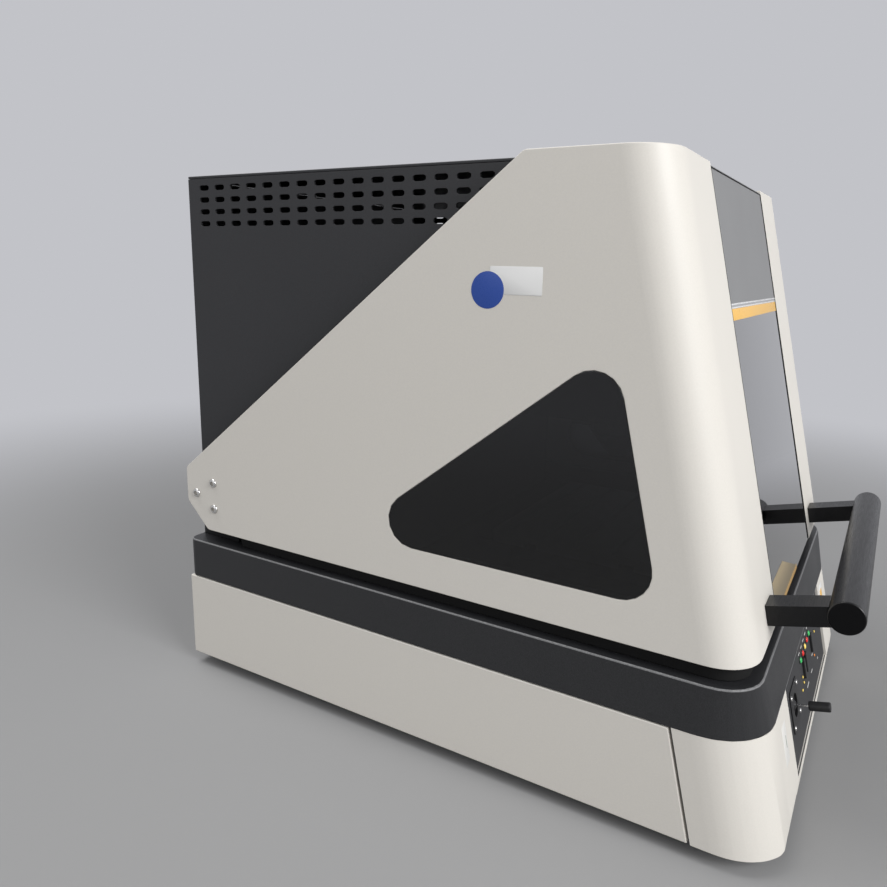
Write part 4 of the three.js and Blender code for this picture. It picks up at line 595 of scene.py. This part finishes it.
pan_steel = grained(
    "pan_steel",
    steel_grain,
    {"Colour": (0.42, 0.43, 0.44, 1), "Stretch": (30.0, 900.0, 900.0), "Contrast": 0.1, "Roughness": 0.42},
    0.00004,
    0.2,
    1.0,
)
refined("base_pan", pan_steel, 0.0006)

moulded_grain, mould_in, mould_out = new_group(
    "moulded_grain",
    {
        "Colour": (COLOUR, (0.01, 0.01, 0.01, 1)),
        "Grains per Metre": (NUMBER, 1500.0),
        "Contrast": (NUMBER, 0.2),
        "Roughness": (NUMBER, 0.6),
    },
    {"Colour": COLOUR, "Roughness": NUMBER, "Height": NUMBER},
)
pit_place = place(moulded_grain, "ShaderNodeTexCoord")
pits = place(moulded_grain, "ShaderNodeTexVoronoi", feature="SMOOTH_F1")
pit_swing = place(moulded_grain, "ShaderNodeMapRange", From_Min=0.1, From_Max=0.8, **FULL_SWING)
pit_share = place(moulded_grain, "ShaderNodeMath", operation="MULTIPLY_ADD")
pit_share.inputs[2].default_value = 1.0
pit_tint = place(moulded_grain, "ShaderNodeVectorMath", operation="SCALE")
pit_gloss = place(moulded_grain, "ShaderNodeMath", operation="MULTIPLY_ADD")
pit_gloss.inputs[1].default_value = 0.07
link(
    moulded_grain,
    ((pit_place, "Object"), (pits, "Vector")),
    ((mould_in, "Grains per Metre"), (pits, "Scale")),
    ((pits, "Distance"), (pit_swing, "Value")),
    ((pit_swing, 0), (pit_share, 0)),
    ((mould_in, "Contrast"), (pit_share, 1)),
    ((mould_in, "Colour"), (pit_tint, 0)),
    ((pit_share, 0), (pit_tint, "Scale")),
    ((pit_tint, 0), (mould_out, "Colour")),
    ((pit_swing, 0), (pit_gloss, 0)),
    ((mould_in, "Roughness"), (pit_gloss, 2)),
    ((pit_gloss, 0), (mould_out, "Roughness")),
    ((pits, "Distance"), (mould_out, "Height")),
)
black_rubber = grained(
    "black_rubber",
    moulded_grain,
    {"Colour": (0.006, 0.006, 0.006, 1), "Grains per Metre": 900.0, "Contrast": 0.25, "Roughness": 0.78},
    0.00008,
    specular=0.25,
)
for node in ("foot_front_left", "foot_front_right", "foot_rear_left", "foot_rear_right"):
    refined(node, black_rubber, 0.0010)


# Deck tray and gasket
# The tray is a charcoal casting with a coarse wrinkle coat; a paler grey along its edges and its front lip
# is a painted highlight. The hood closes on a square rubber seal that runs round three sides of its deck.

wrinkle_coat = grained(
    "wrinkle_coat",
    coat_grain,
    {"Colour": (0.018, 0.0185, 0.0205, 1), "Grains per Metre": 750.0, "Contrast": 0.32, "Roughness": 0.44},
    0.0003,
    0.55,
)
# A paler grey painted on the tray's edges and front lip as a highlight.
highlight_coat = grained(
    "highlight_coat",
    coat_grain,
    {"Colour": (0.20, 0.201, 0.205, 1), "Grains per Metre": 750.0, "Contrast": 0.3, "Roughness": 0.34},
    0.0001,
    0.3,
)
refined("deck_tray", wrinkle_coat, 0.0008, 2, True, highlight_coat)
# A thin pale strip along the tray's front lip: a painted highlight line.
LIP_HALF, LIP_RISE = 0.224, 0.0006
lip_seat = stand_on(on_front(0, tray_low.z + LIP_RISE), OUTWARD, UPWARD)
tray_lip_highlight = rounded_plate("tray_lip_highlight", LIP_HALF, 0.00035, 0.0001, 0.00012, lip_seat)
add_piece("tray_lip_highlight", tray_lip_highlight, highlight_coat, "chassis")
refined("chamber_gasket", black_rubber, 0.0012)


# Rear housing
# Charcoal steel sheet with the finer coat of the two dark finishes: slotted side plates, a flat top cover, a
# back cover held by eight screws, and inside them the chamber's rear wall and the measuring head's bay.

charcoal_coat = grained(
    "charcoal_coat",
    coat_grain,
    {"Colour": (0.031, 0.0315, 0.034, 1), "Grains per Metre": 1100.0, "Contrast": 0.2, "Roughness": 0.52},
    0.00018,
    0.4,
    specular=0.35,
)
for node in ("housing_side_left", "housing_side_right"):
    refined(node, charcoal_coat, 0.0005)
for node in ("housing_top_cover", "housing_back_cover", "chamber_back_wall", "head_bay_cover"):
    refined(node, charcoal_coat, 0.0008)

back_low, back_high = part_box("housing_back_cover")
back_middle = (back_low + back_high) / 2
BACK_INSET, BACK_SCREW_LOW, BACK_SCREW_HIGH = 0.012, 0.2, 0.622
cover_places = [
    (x, z)
    for x in (back_low.x + BACK_INSET, back_high.x - BACK_INSET)
    for z in (BACK_SCREW_LOW, back_middle.z, BACK_SCREW_HIGH)
]
cover_places += [(back_middle.x, BACK_SCREW_LOW), (back_middle.x, BACK_SCREW_HIGH)]
for i, (x, z) in enumerate(cover_places):
    button_screw(f"back_cover_screw_{i + 1}", (x, back_high.y, z), OUT_OF["rear"], 0.004, "chassis")


# Cooling fan
# A 120 mm moulded fan behind the back cover: square frame, seven-bladed rotor, and outside the cover a
# stamped ring guard, all held by four long screws.

black_mould = grained(
    "black_mould",
    moulded_grain,
    {"Colour": (0.012, 0.012, 0.013, 1), "Grains per Metre": 1700.0, "Contrast": 0.2, "Roughness": 0.48},
    0.00004,
)
black_anodised = grained(
    "black_anodised",
    steel_grain,
    {"Colour": (0.010, 0.010, 0.011, 1), "Stretch": (60, 1500, 1500), "Contrast": 0.18, "Roughness": 0.36},
    0.00003,
    0.25,
    specular=0.35,
)
refined("fan_frame", black_mould, 0.0004)
refined("fan_rotor", black_mould, 0.0003)
refined("fan_guard", black_anodised, 0.0003)
guard_low, guard_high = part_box("fan_guard")
guard_middle = (guard_low + guard_high) / 2
FAN_SCREW_REACH = 0.0525
CORNERS = ((-1, -1), (1, -1), (1, 1), (-1, 1))
for i, (side, rise) in enumerate(CORNERS):
    spot = (guard_middle.x + side * FAN_SCREW_REACH, back_high.y, guard_middle.z + rise * FAN_SCREW_REACH)
    button_screw(f"fan_screw_{i + 1}", spot, OUT_OF["rear"], 0.0038, "chassis")


# Mains inlet
# A moulded inlet module in the rear panel with three plated pins in its socket, a rocker switch beside it
# and a small screw at each end of its flange.

refined("mains_inlet", black_mould, 0.0004)
refined("power_rocker", black_mould, 0.0006)

inlet_low, inlet_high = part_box("mains_inlet")
inlet_middle = (inlet_low + inlet_high) / 2
SOCKET_X = inlet_high.x - 0.0188
PIN_ROOT, PIN_LENGTH = 0.0158, 0.012
for i, (x, rise) in enumerate(((-0.007, -0.002), (0.0, 0.002), (0.007, -0.002))):
    name = f"inlet_pin_{i + 1}"
    seat = stand_on(Vector((SOCKET_X + x, inlet_high.y - PIN_ROOT, inlet_middle.z + rise)), OUT_OF["rear"])
    pin = rounded_plate(name, 0.001, 0.002, 0.0004, PIN_LENGTH, seat, 0.08)
    add_piece(name, pin, zinc_steel, "chassis")
FLANGE_SCREW_X = 0.0288
for i, side in enumerate((-1, 1)):
    spot = (inlet_middle.x + side * FLANGE_SCREW_X, inlet_high.y - 0.001, inlet_middle.z)
    button_screw(f"inlet_screw_{i + 1}", spot, OUT_OF["rear"], 0.0016, "chassis")


# Hood pivots
# Each side has a black steel bracket with a welded pin on the deck, and a bright steel disc in the hood that
# turns on the pin behind the shell's tail.

hinge_steel = grained(
    "hinge_steel",
    steel_grain,
    {"Colour": (0.5, 0.51, 0.52, 1), "Stretch": (900.0, 40.0, 900.0), "Contrast": 0.12, "Roughness": 0.33},
    0.00004,
    0.25,
    1.0,
)
for node in ("hinge_bracket_left", "hinge_bracket_right"):
    refined(node, black_anodised, 0.0006)
for node in ("hinge_plate_left", "hinge_plate_right"):
    refined(node, hinge_steel, 0.0006)


# High-voltage generator, power supply and controller board
# The generator is a closed aluminium tank with four cap screws, the supply a folded steel case, and the board
# stands upright against the chamber wall with its large circuits under moulded caps.

cast_alloy = grained(
    "cast_alloy",
    steel_grain,
    {"Colour": (0.56, 0.57, 0.58, 1), "Stretch": (1200, 60, 1200), "Contrast": 0.08, "Roughness": 0.38},
    0.00004,
    0.3,
    1.0,
)
solder_mask = grained(
    "solder_mask",
    moulded_grain,
    {"Colour": (0.012, 0.11, 0.045, 1), "Grains per Metre": 320.0, "Contrast": 0.35, "Roughness": 0.3},
    0.00005,
)
refined("hv_generator", cast_alloy, 0.0015)
refined("power_supply", hinge_steel, 0.0010)
refined("controller_board", solder_mask, 0.0002)

TANK_SCREW_INSET = 0.012
tank_low, tank_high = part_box("hv_generator")
tank_screw_rings = [circle(0.005, 0), circle(0.005, 0.003), circle(0.0043, 0.0038)]
tank_screw_rings += [hexagon(0.0024, 0.0038), hexagon(0.0023, 0.0014)]
for i, (x, y) in enumerate(((0, 0), (1, 0), (1, 1), (0, 1))):
    name = f"tank_screw_{i + 1}"
    spot = Vector(
        (
            tank_low.x + TANK_SCREW_INSET + x * (tank_high.x - tank_low.x - 2 * TANK_SCREW_INSET),
            tank_low.y + TANK_SCREW_INSET + y * (tank_high.y - tank_low.y - 2 * TANK_SCREW_INSET),
            tank_high.z,
        )
    )
    tank_screw = skin_mesh(name, tank_screw_rings, stand_on(spot, Vector((0, 0, 1)), Vector((0, 1, 0))))
    add_piece(name, tank_screw, zinc_steel, "chassis")


# Sample stage
# Three stacked plates: a black anodised base and carriage with ground rails, and a bright machined table
# with grooves that hold sample clamps.

table_alloy = grained(
    "table_alloy",
    steel_grain,
    {"Colour": (0.58, 0.59, 0.60, 1), "Stretch": (40, 1600, 1600), "Contrast": 0.1, "Roughness": 0.32},
    0.00004,
    0.3,
    1.0,
)
for node in ("stage_base", "stage_carriage"):
    refined(node, black_anodised, 0.0006)
refined("stage_table", table_alloy, 0.0006)


# Measuring head
# A chamfered aluminium block carries the steel collimator nose, the detector snout and the sample camera,
# with the finned x-ray tube housing above it; the whole head slides on a black guide behind.

refined("head_block", cast_alloy, 0.0012)
refined("tube_housing", cast_alloy, 0.0005)
refined("collimator_nose", hinge_steel, 0.0005)
refined("detector_snout", hinge_steel, 0.0004)
for node in ("head_guide", "head_carriage", "sample_camera"):
    refined(node, black_anodised, 0.0006)

HEAD_SCREWS = ((0.01, 0.045), (0.155, 0.045), (0.155, 0.086), (0.01, 0.086))
head_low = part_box("head_block")[0]
for i, (x, z) in enumerate(HEAD_SCREWS):
    spot = (head_low.x + x, head_low.y, head_low.z + z)
    button_screw(f"head_screw_{i + 1}", spot, Vector((0, -1, 0)), 0.0042, "measuring_head")


# Hood shells
# Each side of the hood is one pale steel pressing that wraps round the sloping front corner. It is screwed to
# the hinge plate by three M6 button heads near its tail; the left one carries a blank label and a blue spot.

for node in ("hood_shell_left", "hood_shell_right"):
    refined(node, pale_coat, 0.0014, 3, True)

TAIL_SCREW_RADIUS = 0.0060
TAIL_SCREWS = ((0.3442, 0.2625), (0.3751, 0.2447), (0.3443, 0.2280))
for side in ("left", "right"):
    low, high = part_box("hood_shell_" + side)
    face = low.x if side == "left" else high.x
    for i, (y, z) in enumerate(TAIL_SCREWS):
        button_screw(f"tail_screw_{side}_{i + 1}", (face, y, z), OUT_OF[side], TAIL_SCREW_RADIUS, "hood")

shell_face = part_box("hood_shell_left")[0].x
blank_paper = plain_paint("blank_paper", (0.80, 0.80, 0.79), 0.4, 0.015)
blue_film = plain_paint("blue_film", (0.018, 0.07, 0.36), 0.3)
label_seat = stand_on(Vector((shell_face, -0.0716, 0.528)), OUT_OF["left"])
blank_label = rounded_plate("blank_label", 0.0272, 0.0130, 0.0015, 0.00015, label_seat)
add_piece("blank_label", blank_label, blank_paper, "hood")
spot_seat = stand_on(Vector((shell_face, -0.0425, 0.5187)), OUT_OF["left"])
spot_rings = [circle(radius, out, 48) for radius, out in ((0.0175, 0), (0.0175, 0.00016), (0.0173, 0.0002))]
add_piece("blue_spot", skin_mesh("blue_spot", spot_rings, spot_seat), blue_film, "hood")


# Hood front and top
# Between the shells the front is one tinted pane below a grey textured sheet. Thin black strips along its
# sides and top are painted shade for the dark gap at the shells. Where pane and sheet meet runs a pale trim
# with a grey core, and a plain yellow strip below it. A charcoal sheet closes the top, and a black frame ties
# everything together.

grey_coat = grained(
    "grey_coat",
    coat_grain,
    {"Colour": (0.22, 0.221, 0.224, 1), "Grains per Metre": 1100.0, "Contrast": 0.12, "Roughness": 0.46},
    0.00018,
    0.4,
)
refined("hood_front_panel", grey_coat, 0.0006)
refined("hood_top_panel", charcoal_coat, 0.0008)
refined("hood_frame", black_anodised, 0.0008)


def tinted_glass(name, tint, specular, coat):
    """Clear dark glass with faint wipe marks in its gloss; the coat stands for a film on its outer face."""
    material = bpy.data.materials.new(name)
    material.use_nodes = True
    tree = material.node_tree
    shader = tree.nodes["Principled BSDF"]
    shader.inputs["Transmission Weight"].default_value = 1.0
    shader.inputs["IOR"].default_value = 1.5
    shader.inputs["Specular IOR Level"].default_value = specular
    shader.inputs["Coat Weight"].default_value = coat
    spot = place(tree, "ShaderNodeTexCoord")
    smear = place(tree, "ShaderNodeTexNoise", Scale=9.0, Detail=4.0)
    gloss_range = place(tree, "ShaderNodeMapRange", From_Min=0.35, From_Max=0.75, To_Min=0.0, To_Max=0.035)
    tone_range = place(tree, "ShaderNodeMapRange", **NOISE_SPAN, To_Min=0.95, To_Max=1.05)
    tone = place(tree, "ShaderNodeVectorMath", operation="SCALE")
    tone.inputs[0].default_value = tint
    link(
        tree,
        ((spot, "Object"), (smear, "Vector")),
        ((smear, 0), (gloss_range, "Value")),
        ((smear, 0), (tone_range, "Value")),
        ((gloss_range, 0), (shader, "Roughness")),
        ((tone_range, 0), (tone, "Scale")),
        ((tone, 0), (shader, "Base Color")),
    )
    return material


GLASS_TINT = (0.075, 0.078, 0.082)
front_glass = tinted_glass("front_glass", GLASS_TINT, 0.5, 1.0)
window_glass = tinted_glass("window_glass", GLASS_TINT, 0.25, 0.0)
refined("hood_glass", front_glass, 0.0006)
for node in ("hood_window_left", "hood_window_right"):
    refined(node, window_glass, 0.0006)

glass_low, glass_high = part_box("hood_glass")
GLASS_HALF = glass_high.x
GLASS_FACE = -0.001
satin_trim = grained(
    "satin_trim",
    steel_grain,
    {"Colour": (0.80, 0.80, 0.80, 1), "Stretch": (40, 2500, 2500), "Contrast": 0.04, "Roughness": 0.3},
    0.00002,
    0.2,
    0.25,
)
grey_film = plain_paint("grey_film", (0.36, 0.36, 0.37), 0.4)


def front_plate(name, x0, x1, z0, z1, thick, material, slot):
    """A thin plate on the sloping front's glass, between two widths and two heights."""
    seat = stand_on(on_front((x0 + x1) / 2, (z0 + z1) / 2, GLASS_FACE), OUTWARD, UPWARD)
    half_rise = (z1 - z0) / 2 / math.cos(FRONT_LEAN)
    corner = min(0.0008, half_rise * 0.6)
    mesh = rounded_plate(name, (x1 - x0) / 2, half_rise, corner, thick, seat)
    add_piece(name, mesh, material, "hood")


SHEET_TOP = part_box("hood_front_panel")[1].z
FRONT_FILMS = (
    ("front_trim_upper", 0.0009, 0.0025, 0.0006, satin_trim, "steel"),
    ("front_trim_core", -0.0009, 0.0009, 0.0003, grey_film, "steel"),
    ("front_trim_lower", -0.0024, -0.0009, 0.0006, satin_trim, "steel"),
    ("yellow_strip", -0.0138, -0.0026, 0.0002, yellow_film, "front_grey"),
)
for name, low, high, thick, film, slot in FRONT_FILMS:
    front_plate(name, -GLASS_HALF, GLASS_HALF, glass_high.z + low, glass_high.z + high, thick, film, slot)
# Black strips along the sides and top of the front: painted shade for the dark gap at the shells.
SHADE_STRIP_WIDTH, SHADE_STRIP_GAP, TOP_SHADE_STRIP_FOOT = 0.0022, 0.001, 0.0025
for side, x in (("left", -GLASS_HALF + SHADE_STRIP_WIDTH / 2), ("right", GLASS_HALF - SHADE_STRIP_WIDTH / 2)):
    shade_strip_span = (x - SHADE_STRIP_WIDTH / 2, x + SHADE_STRIP_WIDTH / 2, glass_low.z + SHADE_STRIP_GAP, SHEET_TOP - SHADE_STRIP_GAP)
    front_plate("front_shade_strip_" + side, *shade_strip_span, 0.0008, black_rubber, "rubber")
shade_strip_half = GLASS_HALF - SHADE_STRIP_WIDTH
shade_strip_span = (-shade_strip_half, shade_strip_half, SHEET_TOP - TOP_SHADE_STRIP_FOOT, SHEET_TOP - SHADE_STRIP_GAP)
front_plate("front_shade_strip_top", *shade_strip_span, 0.0004, black_rubber, "rubber")

tan_film = plain_paint("tan_film", (0.42, 0.33, 0.19), 0.4)
TAN_OUTLINE = ((-0.1415, 0.0055), (0.018, 0.0055), (-0.066, 0.0365), (-0.1415, 0.0365))
tan_rings = [
    [on_front(x, glass_low.z + rise, GLASS_FACE + out) for x, rise in TAN_OUTLINE] for out in (0.0, 0.0002)
]
add_piece("tan_plate", skin_mesh("tan_plate", tan_rings), tan_film, "hood")
band_span = (-0.1415, 0.022, glass_low.z + 0.0004, glass_low.z + 0.0060)
front_plate("yellow_band", *band_span, 0.0002, yellow_film, "front_grey")


# Handle
# A black anodised bar across the front on two flat arms that stand square to the slope; its ends have a fine
# chamfer and a duller face.

HANDLE_GRAIN = {"Colour": (0.004, 0.004, 0.0045, 1), "Stretch": (50.0, 1500.0, 1500.0), "Contrast": 0.15}


def handle_black(name, roughness, specular):
    """The handle's black anodising, duller or brighter."""
    values = {**HANDLE_GRAIN, "Roughness": roughness}
    return grained(name, steel_grain, values, 0.00003, 0.25, specular=specular)


bar_black = handle_black("bar_black", 0.34, 0.5)
arm_black = handle_black("arm_black", 0.34, 0.32)
end_black = handle_black("end_black", 0.6, 0.1)
bar = refined("handle_bar", bar_black, 0.0006)
bar.data.materials.append(end_black)
for face in bar.data.polygons:
    if abs(face.normal.x) > 0.8:
        face.material_index = 1
for node in ("handle_arm_left", "handle_arm_right"):
    refined(node, arm_black, 0.0010)


# Control panel
# A charcoal plate set 3 mm into the slope, with five round lamps, a few small indicator lights, three black
# upright keys in close slots, and fine pale rules.

refined("console_panel", charcoal_coat, 0.0004)
refined("indicator_board", solder_mask, 0.0)

PANEL_FACE = -0.003


def sunk(piece, proud, left):
    """Brings back the front of a piece that stands proud of the panel, so that only this much is left."""
    for vertex in piece.data.vertices:
        out = (vertex.co - FRONT_FOOT).dot(OUTWARD) - PANEL_FACE
        if out > proud / 2:
            vertex.co -= OUTWARD * (proud - left)


KEY_PROUD, KEY_LEFT = 0.005, 0.0028
for node in ("panel_key_1", "panel_key_2", "panel_key_3"):
    sunk(refined(node, black_mould, 0.0009, 3), KEY_PROUD, KEY_LEFT)

CONSOLE_MIDDLE_Z = (sill_high.z + FRONT_FOOT.z - 0.0003) / 2


def on_console(x, up, out=0.0):
    """A point in front of the control panel's face, in its own width and height."""
    return on_front(x, CONSOLE_MIDDLE_Z, PANEL_FACE + out) + UPWARD * up


def lamp_glow(name, colour):
    """A tinted clear lens with a faint even glow."""
    material = plain_paint(name, colour, 0.14, 0.05, 900.0)
    shader = material.node_tree.nodes["Principled BSDF"]
    shader.inputs["Emission Color"].default_value = (*colour, 1)
    shader.inputs["Emission Strength"].default_value = 0.35
    return material


LAMP_COLOURS = {
    "green": lamp_glow("green_lens", (0.03, 0.42, 0.10)),
    "red": lamp_glow("red_lens", (0.62, 0.02, 0.015)),
    "yellow": lamp_glow("yellow_lens", (0.78, 0.58, 0.12)),
    "amber": lamp_glow("amber_lens", (0.75, 0.24, 0.02)),
}


LAMP_SIDES = 20
COLLAR_RINGS = ((1.12, 0.0), (1.42, 0.0), (1.42, 0.18), (1.3, 0.3), (1.12, 0.3))


def panel_lamp(name, x, up, radius, colour, proud):
    """A domed lens in a thin black collar, whose rings are shares of the lens's radius."""
    seat = stand_on(on_console(x, up), OUTWARD, UPWARD)
    rings = [circle(radius, 0.0, LAMP_SIDES), circle(radius, proud, LAMP_SIDES)]
    for share in (0.3, 0.6, 0.85):
        lean = share * math.pi / 2
        rings.append(circle(radius * math.cos(lean), proud + radius * 0.45 * math.sin(lean), LAMP_SIDES))
    rings.append(circle(radius * 0.05, proud + radius * 0.46, LAMP_SIDES))
    add_piece(name, skin_mesh(name, rings, seat, 50), LAMP_COLOURS[colour], "chassis")
    collar = [circle(radius * share, radius * rise, LAMP_SIDES) for share, rise in COLLAR_RINGS]
    points = [point for ring in collar for point in ring]
    faces = []
    for level in range(len(collar)):
        for i in range(LAMP_SIDES):
            j = (i + 1) % LAMP_SIDES
            low, high = level * LAMP_SIDES, ((level + 1) % len(collar)) * LAMP_SIDES
            faces.append((low + i, low + j, high + j, high + i))
    mesh = bpy.data.meshes.new(name + "_collar")
    mesh.from_pydata([tuple(seat @ Vector(p)) for p in points], [], faces)
    shape = bmesh.new()
    shape.from_mesh(mesh)
    bmesh.ops.recalc_face_normals(shape, faces=shape.faces)
    shape.to_mesh(mesh)
    shape.free()
    shaded_smooth(mesh)
    add_piece(name + "_collar", mesh, black_mould, "chassis")


LAMP_START_X, LAMP_PITCH, LAMP_UP = -0.0345, 0.0197, 0.027
LAMP_ROW = ("green", "red", "yellow", "red", "green")
for i, colour in enumerate(LAMP_ROW):
    panel_lamp(f"panel_lamp_{i + 1}", LAMP_START_X + LAMP_PITCH * i, LAMP_UP, 0.0032, colour, 0.0012)
SMALL_LIGHTS = (
    (0.094, 0.009, "yellow"),
    (0.0705, -0.013, "amber"),
    (-0.0335, 0.006, "yellow"),
    (-0.030, -0.002, "yellow"),
    (-0.045, -0.0045, "yellow"),
)
for i, (x, up, colour) in enumerate(SMALL_LIGHTS):
    panel_lamp(f"small_light_{i + 1}", x, up, 0.0016, colour, 0.0006)

rule_white = plain_paint("rule_white", (0.72, 0.72, 0.70), 0.5)
RULES = [(LAMP_START_X + LAMP_PITCH * i, 0.0345, 0.0045) for i in range(len(LAMP_ROW))]
RULES += [(-0.0015, -0.0185, 0.0080), (0.0375, -0.0190, 0.0055)]
RULES += [(0.057, -0.0065, 0.0040), (0.0965, -0.028, 0.003)]
for i, (x, up, half) in enumerate(RULES):
    name = f"panel_rule_{i + 1}"
    seat = stand_on(on_console(x, up), OUTWARD, UPWARD)
    rule = rounded_plate(name, half, 0.0008, 0.0003, 0.00008, seat)
    add_piece(name, rule, rule_white, "chassis")


# Joystick
# A square black bezel, set into the panel and held by four bright screws, a black gimbal ring and ball in its
# cup, and a thin bright rod that ends in a knurled black knob.

BEZEL_PROUD, BEZEL_FACE = 0.003, 0.0012
sunk(refined("joystick_bezel", black_mould, 0.0004), BEZEL_PROUD, BEZEL_FACE)
refined("joystick_gimbal", black_anodised, 0.0004)

STICK_X, STICK_UP = -0.103, 0.007
BEZEL_SCREW_X, BEZEL_SCREW_UP = 0.020, 0.0165
for i, (side, rise) in enumerate(CORNERS):
    spot = on_console(STICK_X + side * BEZEL_SCREW_X, STICK_UP + rise * BEZEL_SCREW_UP, BEZEL_FACE)
    button_screw(f"bezel_screw_{i + 1}", spot, OUTWARD, 0.0026, "chassis")

PIVOT_OUT = BEZEL_PROUD - 0.008
ROD_RADIUS, KNOB_RADIUS, KNOB_START, KNOB_LENGTH = 0.0012, 0.0052, 0.019, 0.021
rod_steel = plain_paint("rod_steel", (0.60, 0.60, 0.60), 0.22, 0.02)
rod_steel.node_tree.nodes["Principled BSDF"].inputs["Metallic"].default_value = 1.0
stick_seat = stand_on(on_console(STICK_X, STICK_UP, PIVOT_OUT), OUTWARD, UPWARD)
BALL_RADIUS, BALL_STEPS = 0.007, 12
ball_rings = []
for step in range(1, BALL_STEPS):
    lean = -math.pi / 2 + step * math.pi / BALL_STEPS
    ball_rings.append(circle(BALL_RADIUS * math.cos(lean), BALL_RADIUS * math.sin(lean)))
rod_rings = [circle(ROD_RADIUS, BALL_RADIUS - 0.001), circle(ROD_RADIUS, KNOB_START + 0.001)]
for name, rings, finish in (
    ("joystick_ball", ball_rings, black_mould),
    ("joystick_rod", rod_rings, rod_steel),
):
    stick = add_piece(name, skin_mesh(name, rings, stick_seat), finish, "joystick_stick")
    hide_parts("joystick_stick")

KNURL_SIDES, KNURL_ROWS, KNURL_DEPTH = 44, 26, 0.00022


def knurl_ring(row):
    """One ring of the knob, its points in and out by turns so that the rows make diamonds."""
    height = KNOB_START + KNOB_LENGTH * (0.06 + 0.88 * row / (KNURL_ROWS - 1))
    points = []
    for i in range(KNURL_SIDES):
        a = 2 * math.pi * i / KNURL_SIDES
        radius = KNOB_RADIUS - KNURL_DEPTH * ((i + row) % 2)
        points.append((radius * math.cos(a), radius * math.sin(a), height))
    return points


knob_rings = [circle(KNOB_RADIUS - 0.0008, KNOB_START, KNURL_SIDES)]
knob_rings += [knurl_ring(row) for row in range(KNURL_ROWS)]
knob_rings += [circle(KNOB_RADIUS - 0.0006, KNOB_START + KNOB_LENGTH, KNURL_SIDES)]
knob_mesh = skin_mesh("joystick_knob", knob_rings, stick_seat, 20)
joystick_knob = add_piece("joystick_knob", knob_mesh, black_mould, "joystick_stick")
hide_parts("joystick_stick")
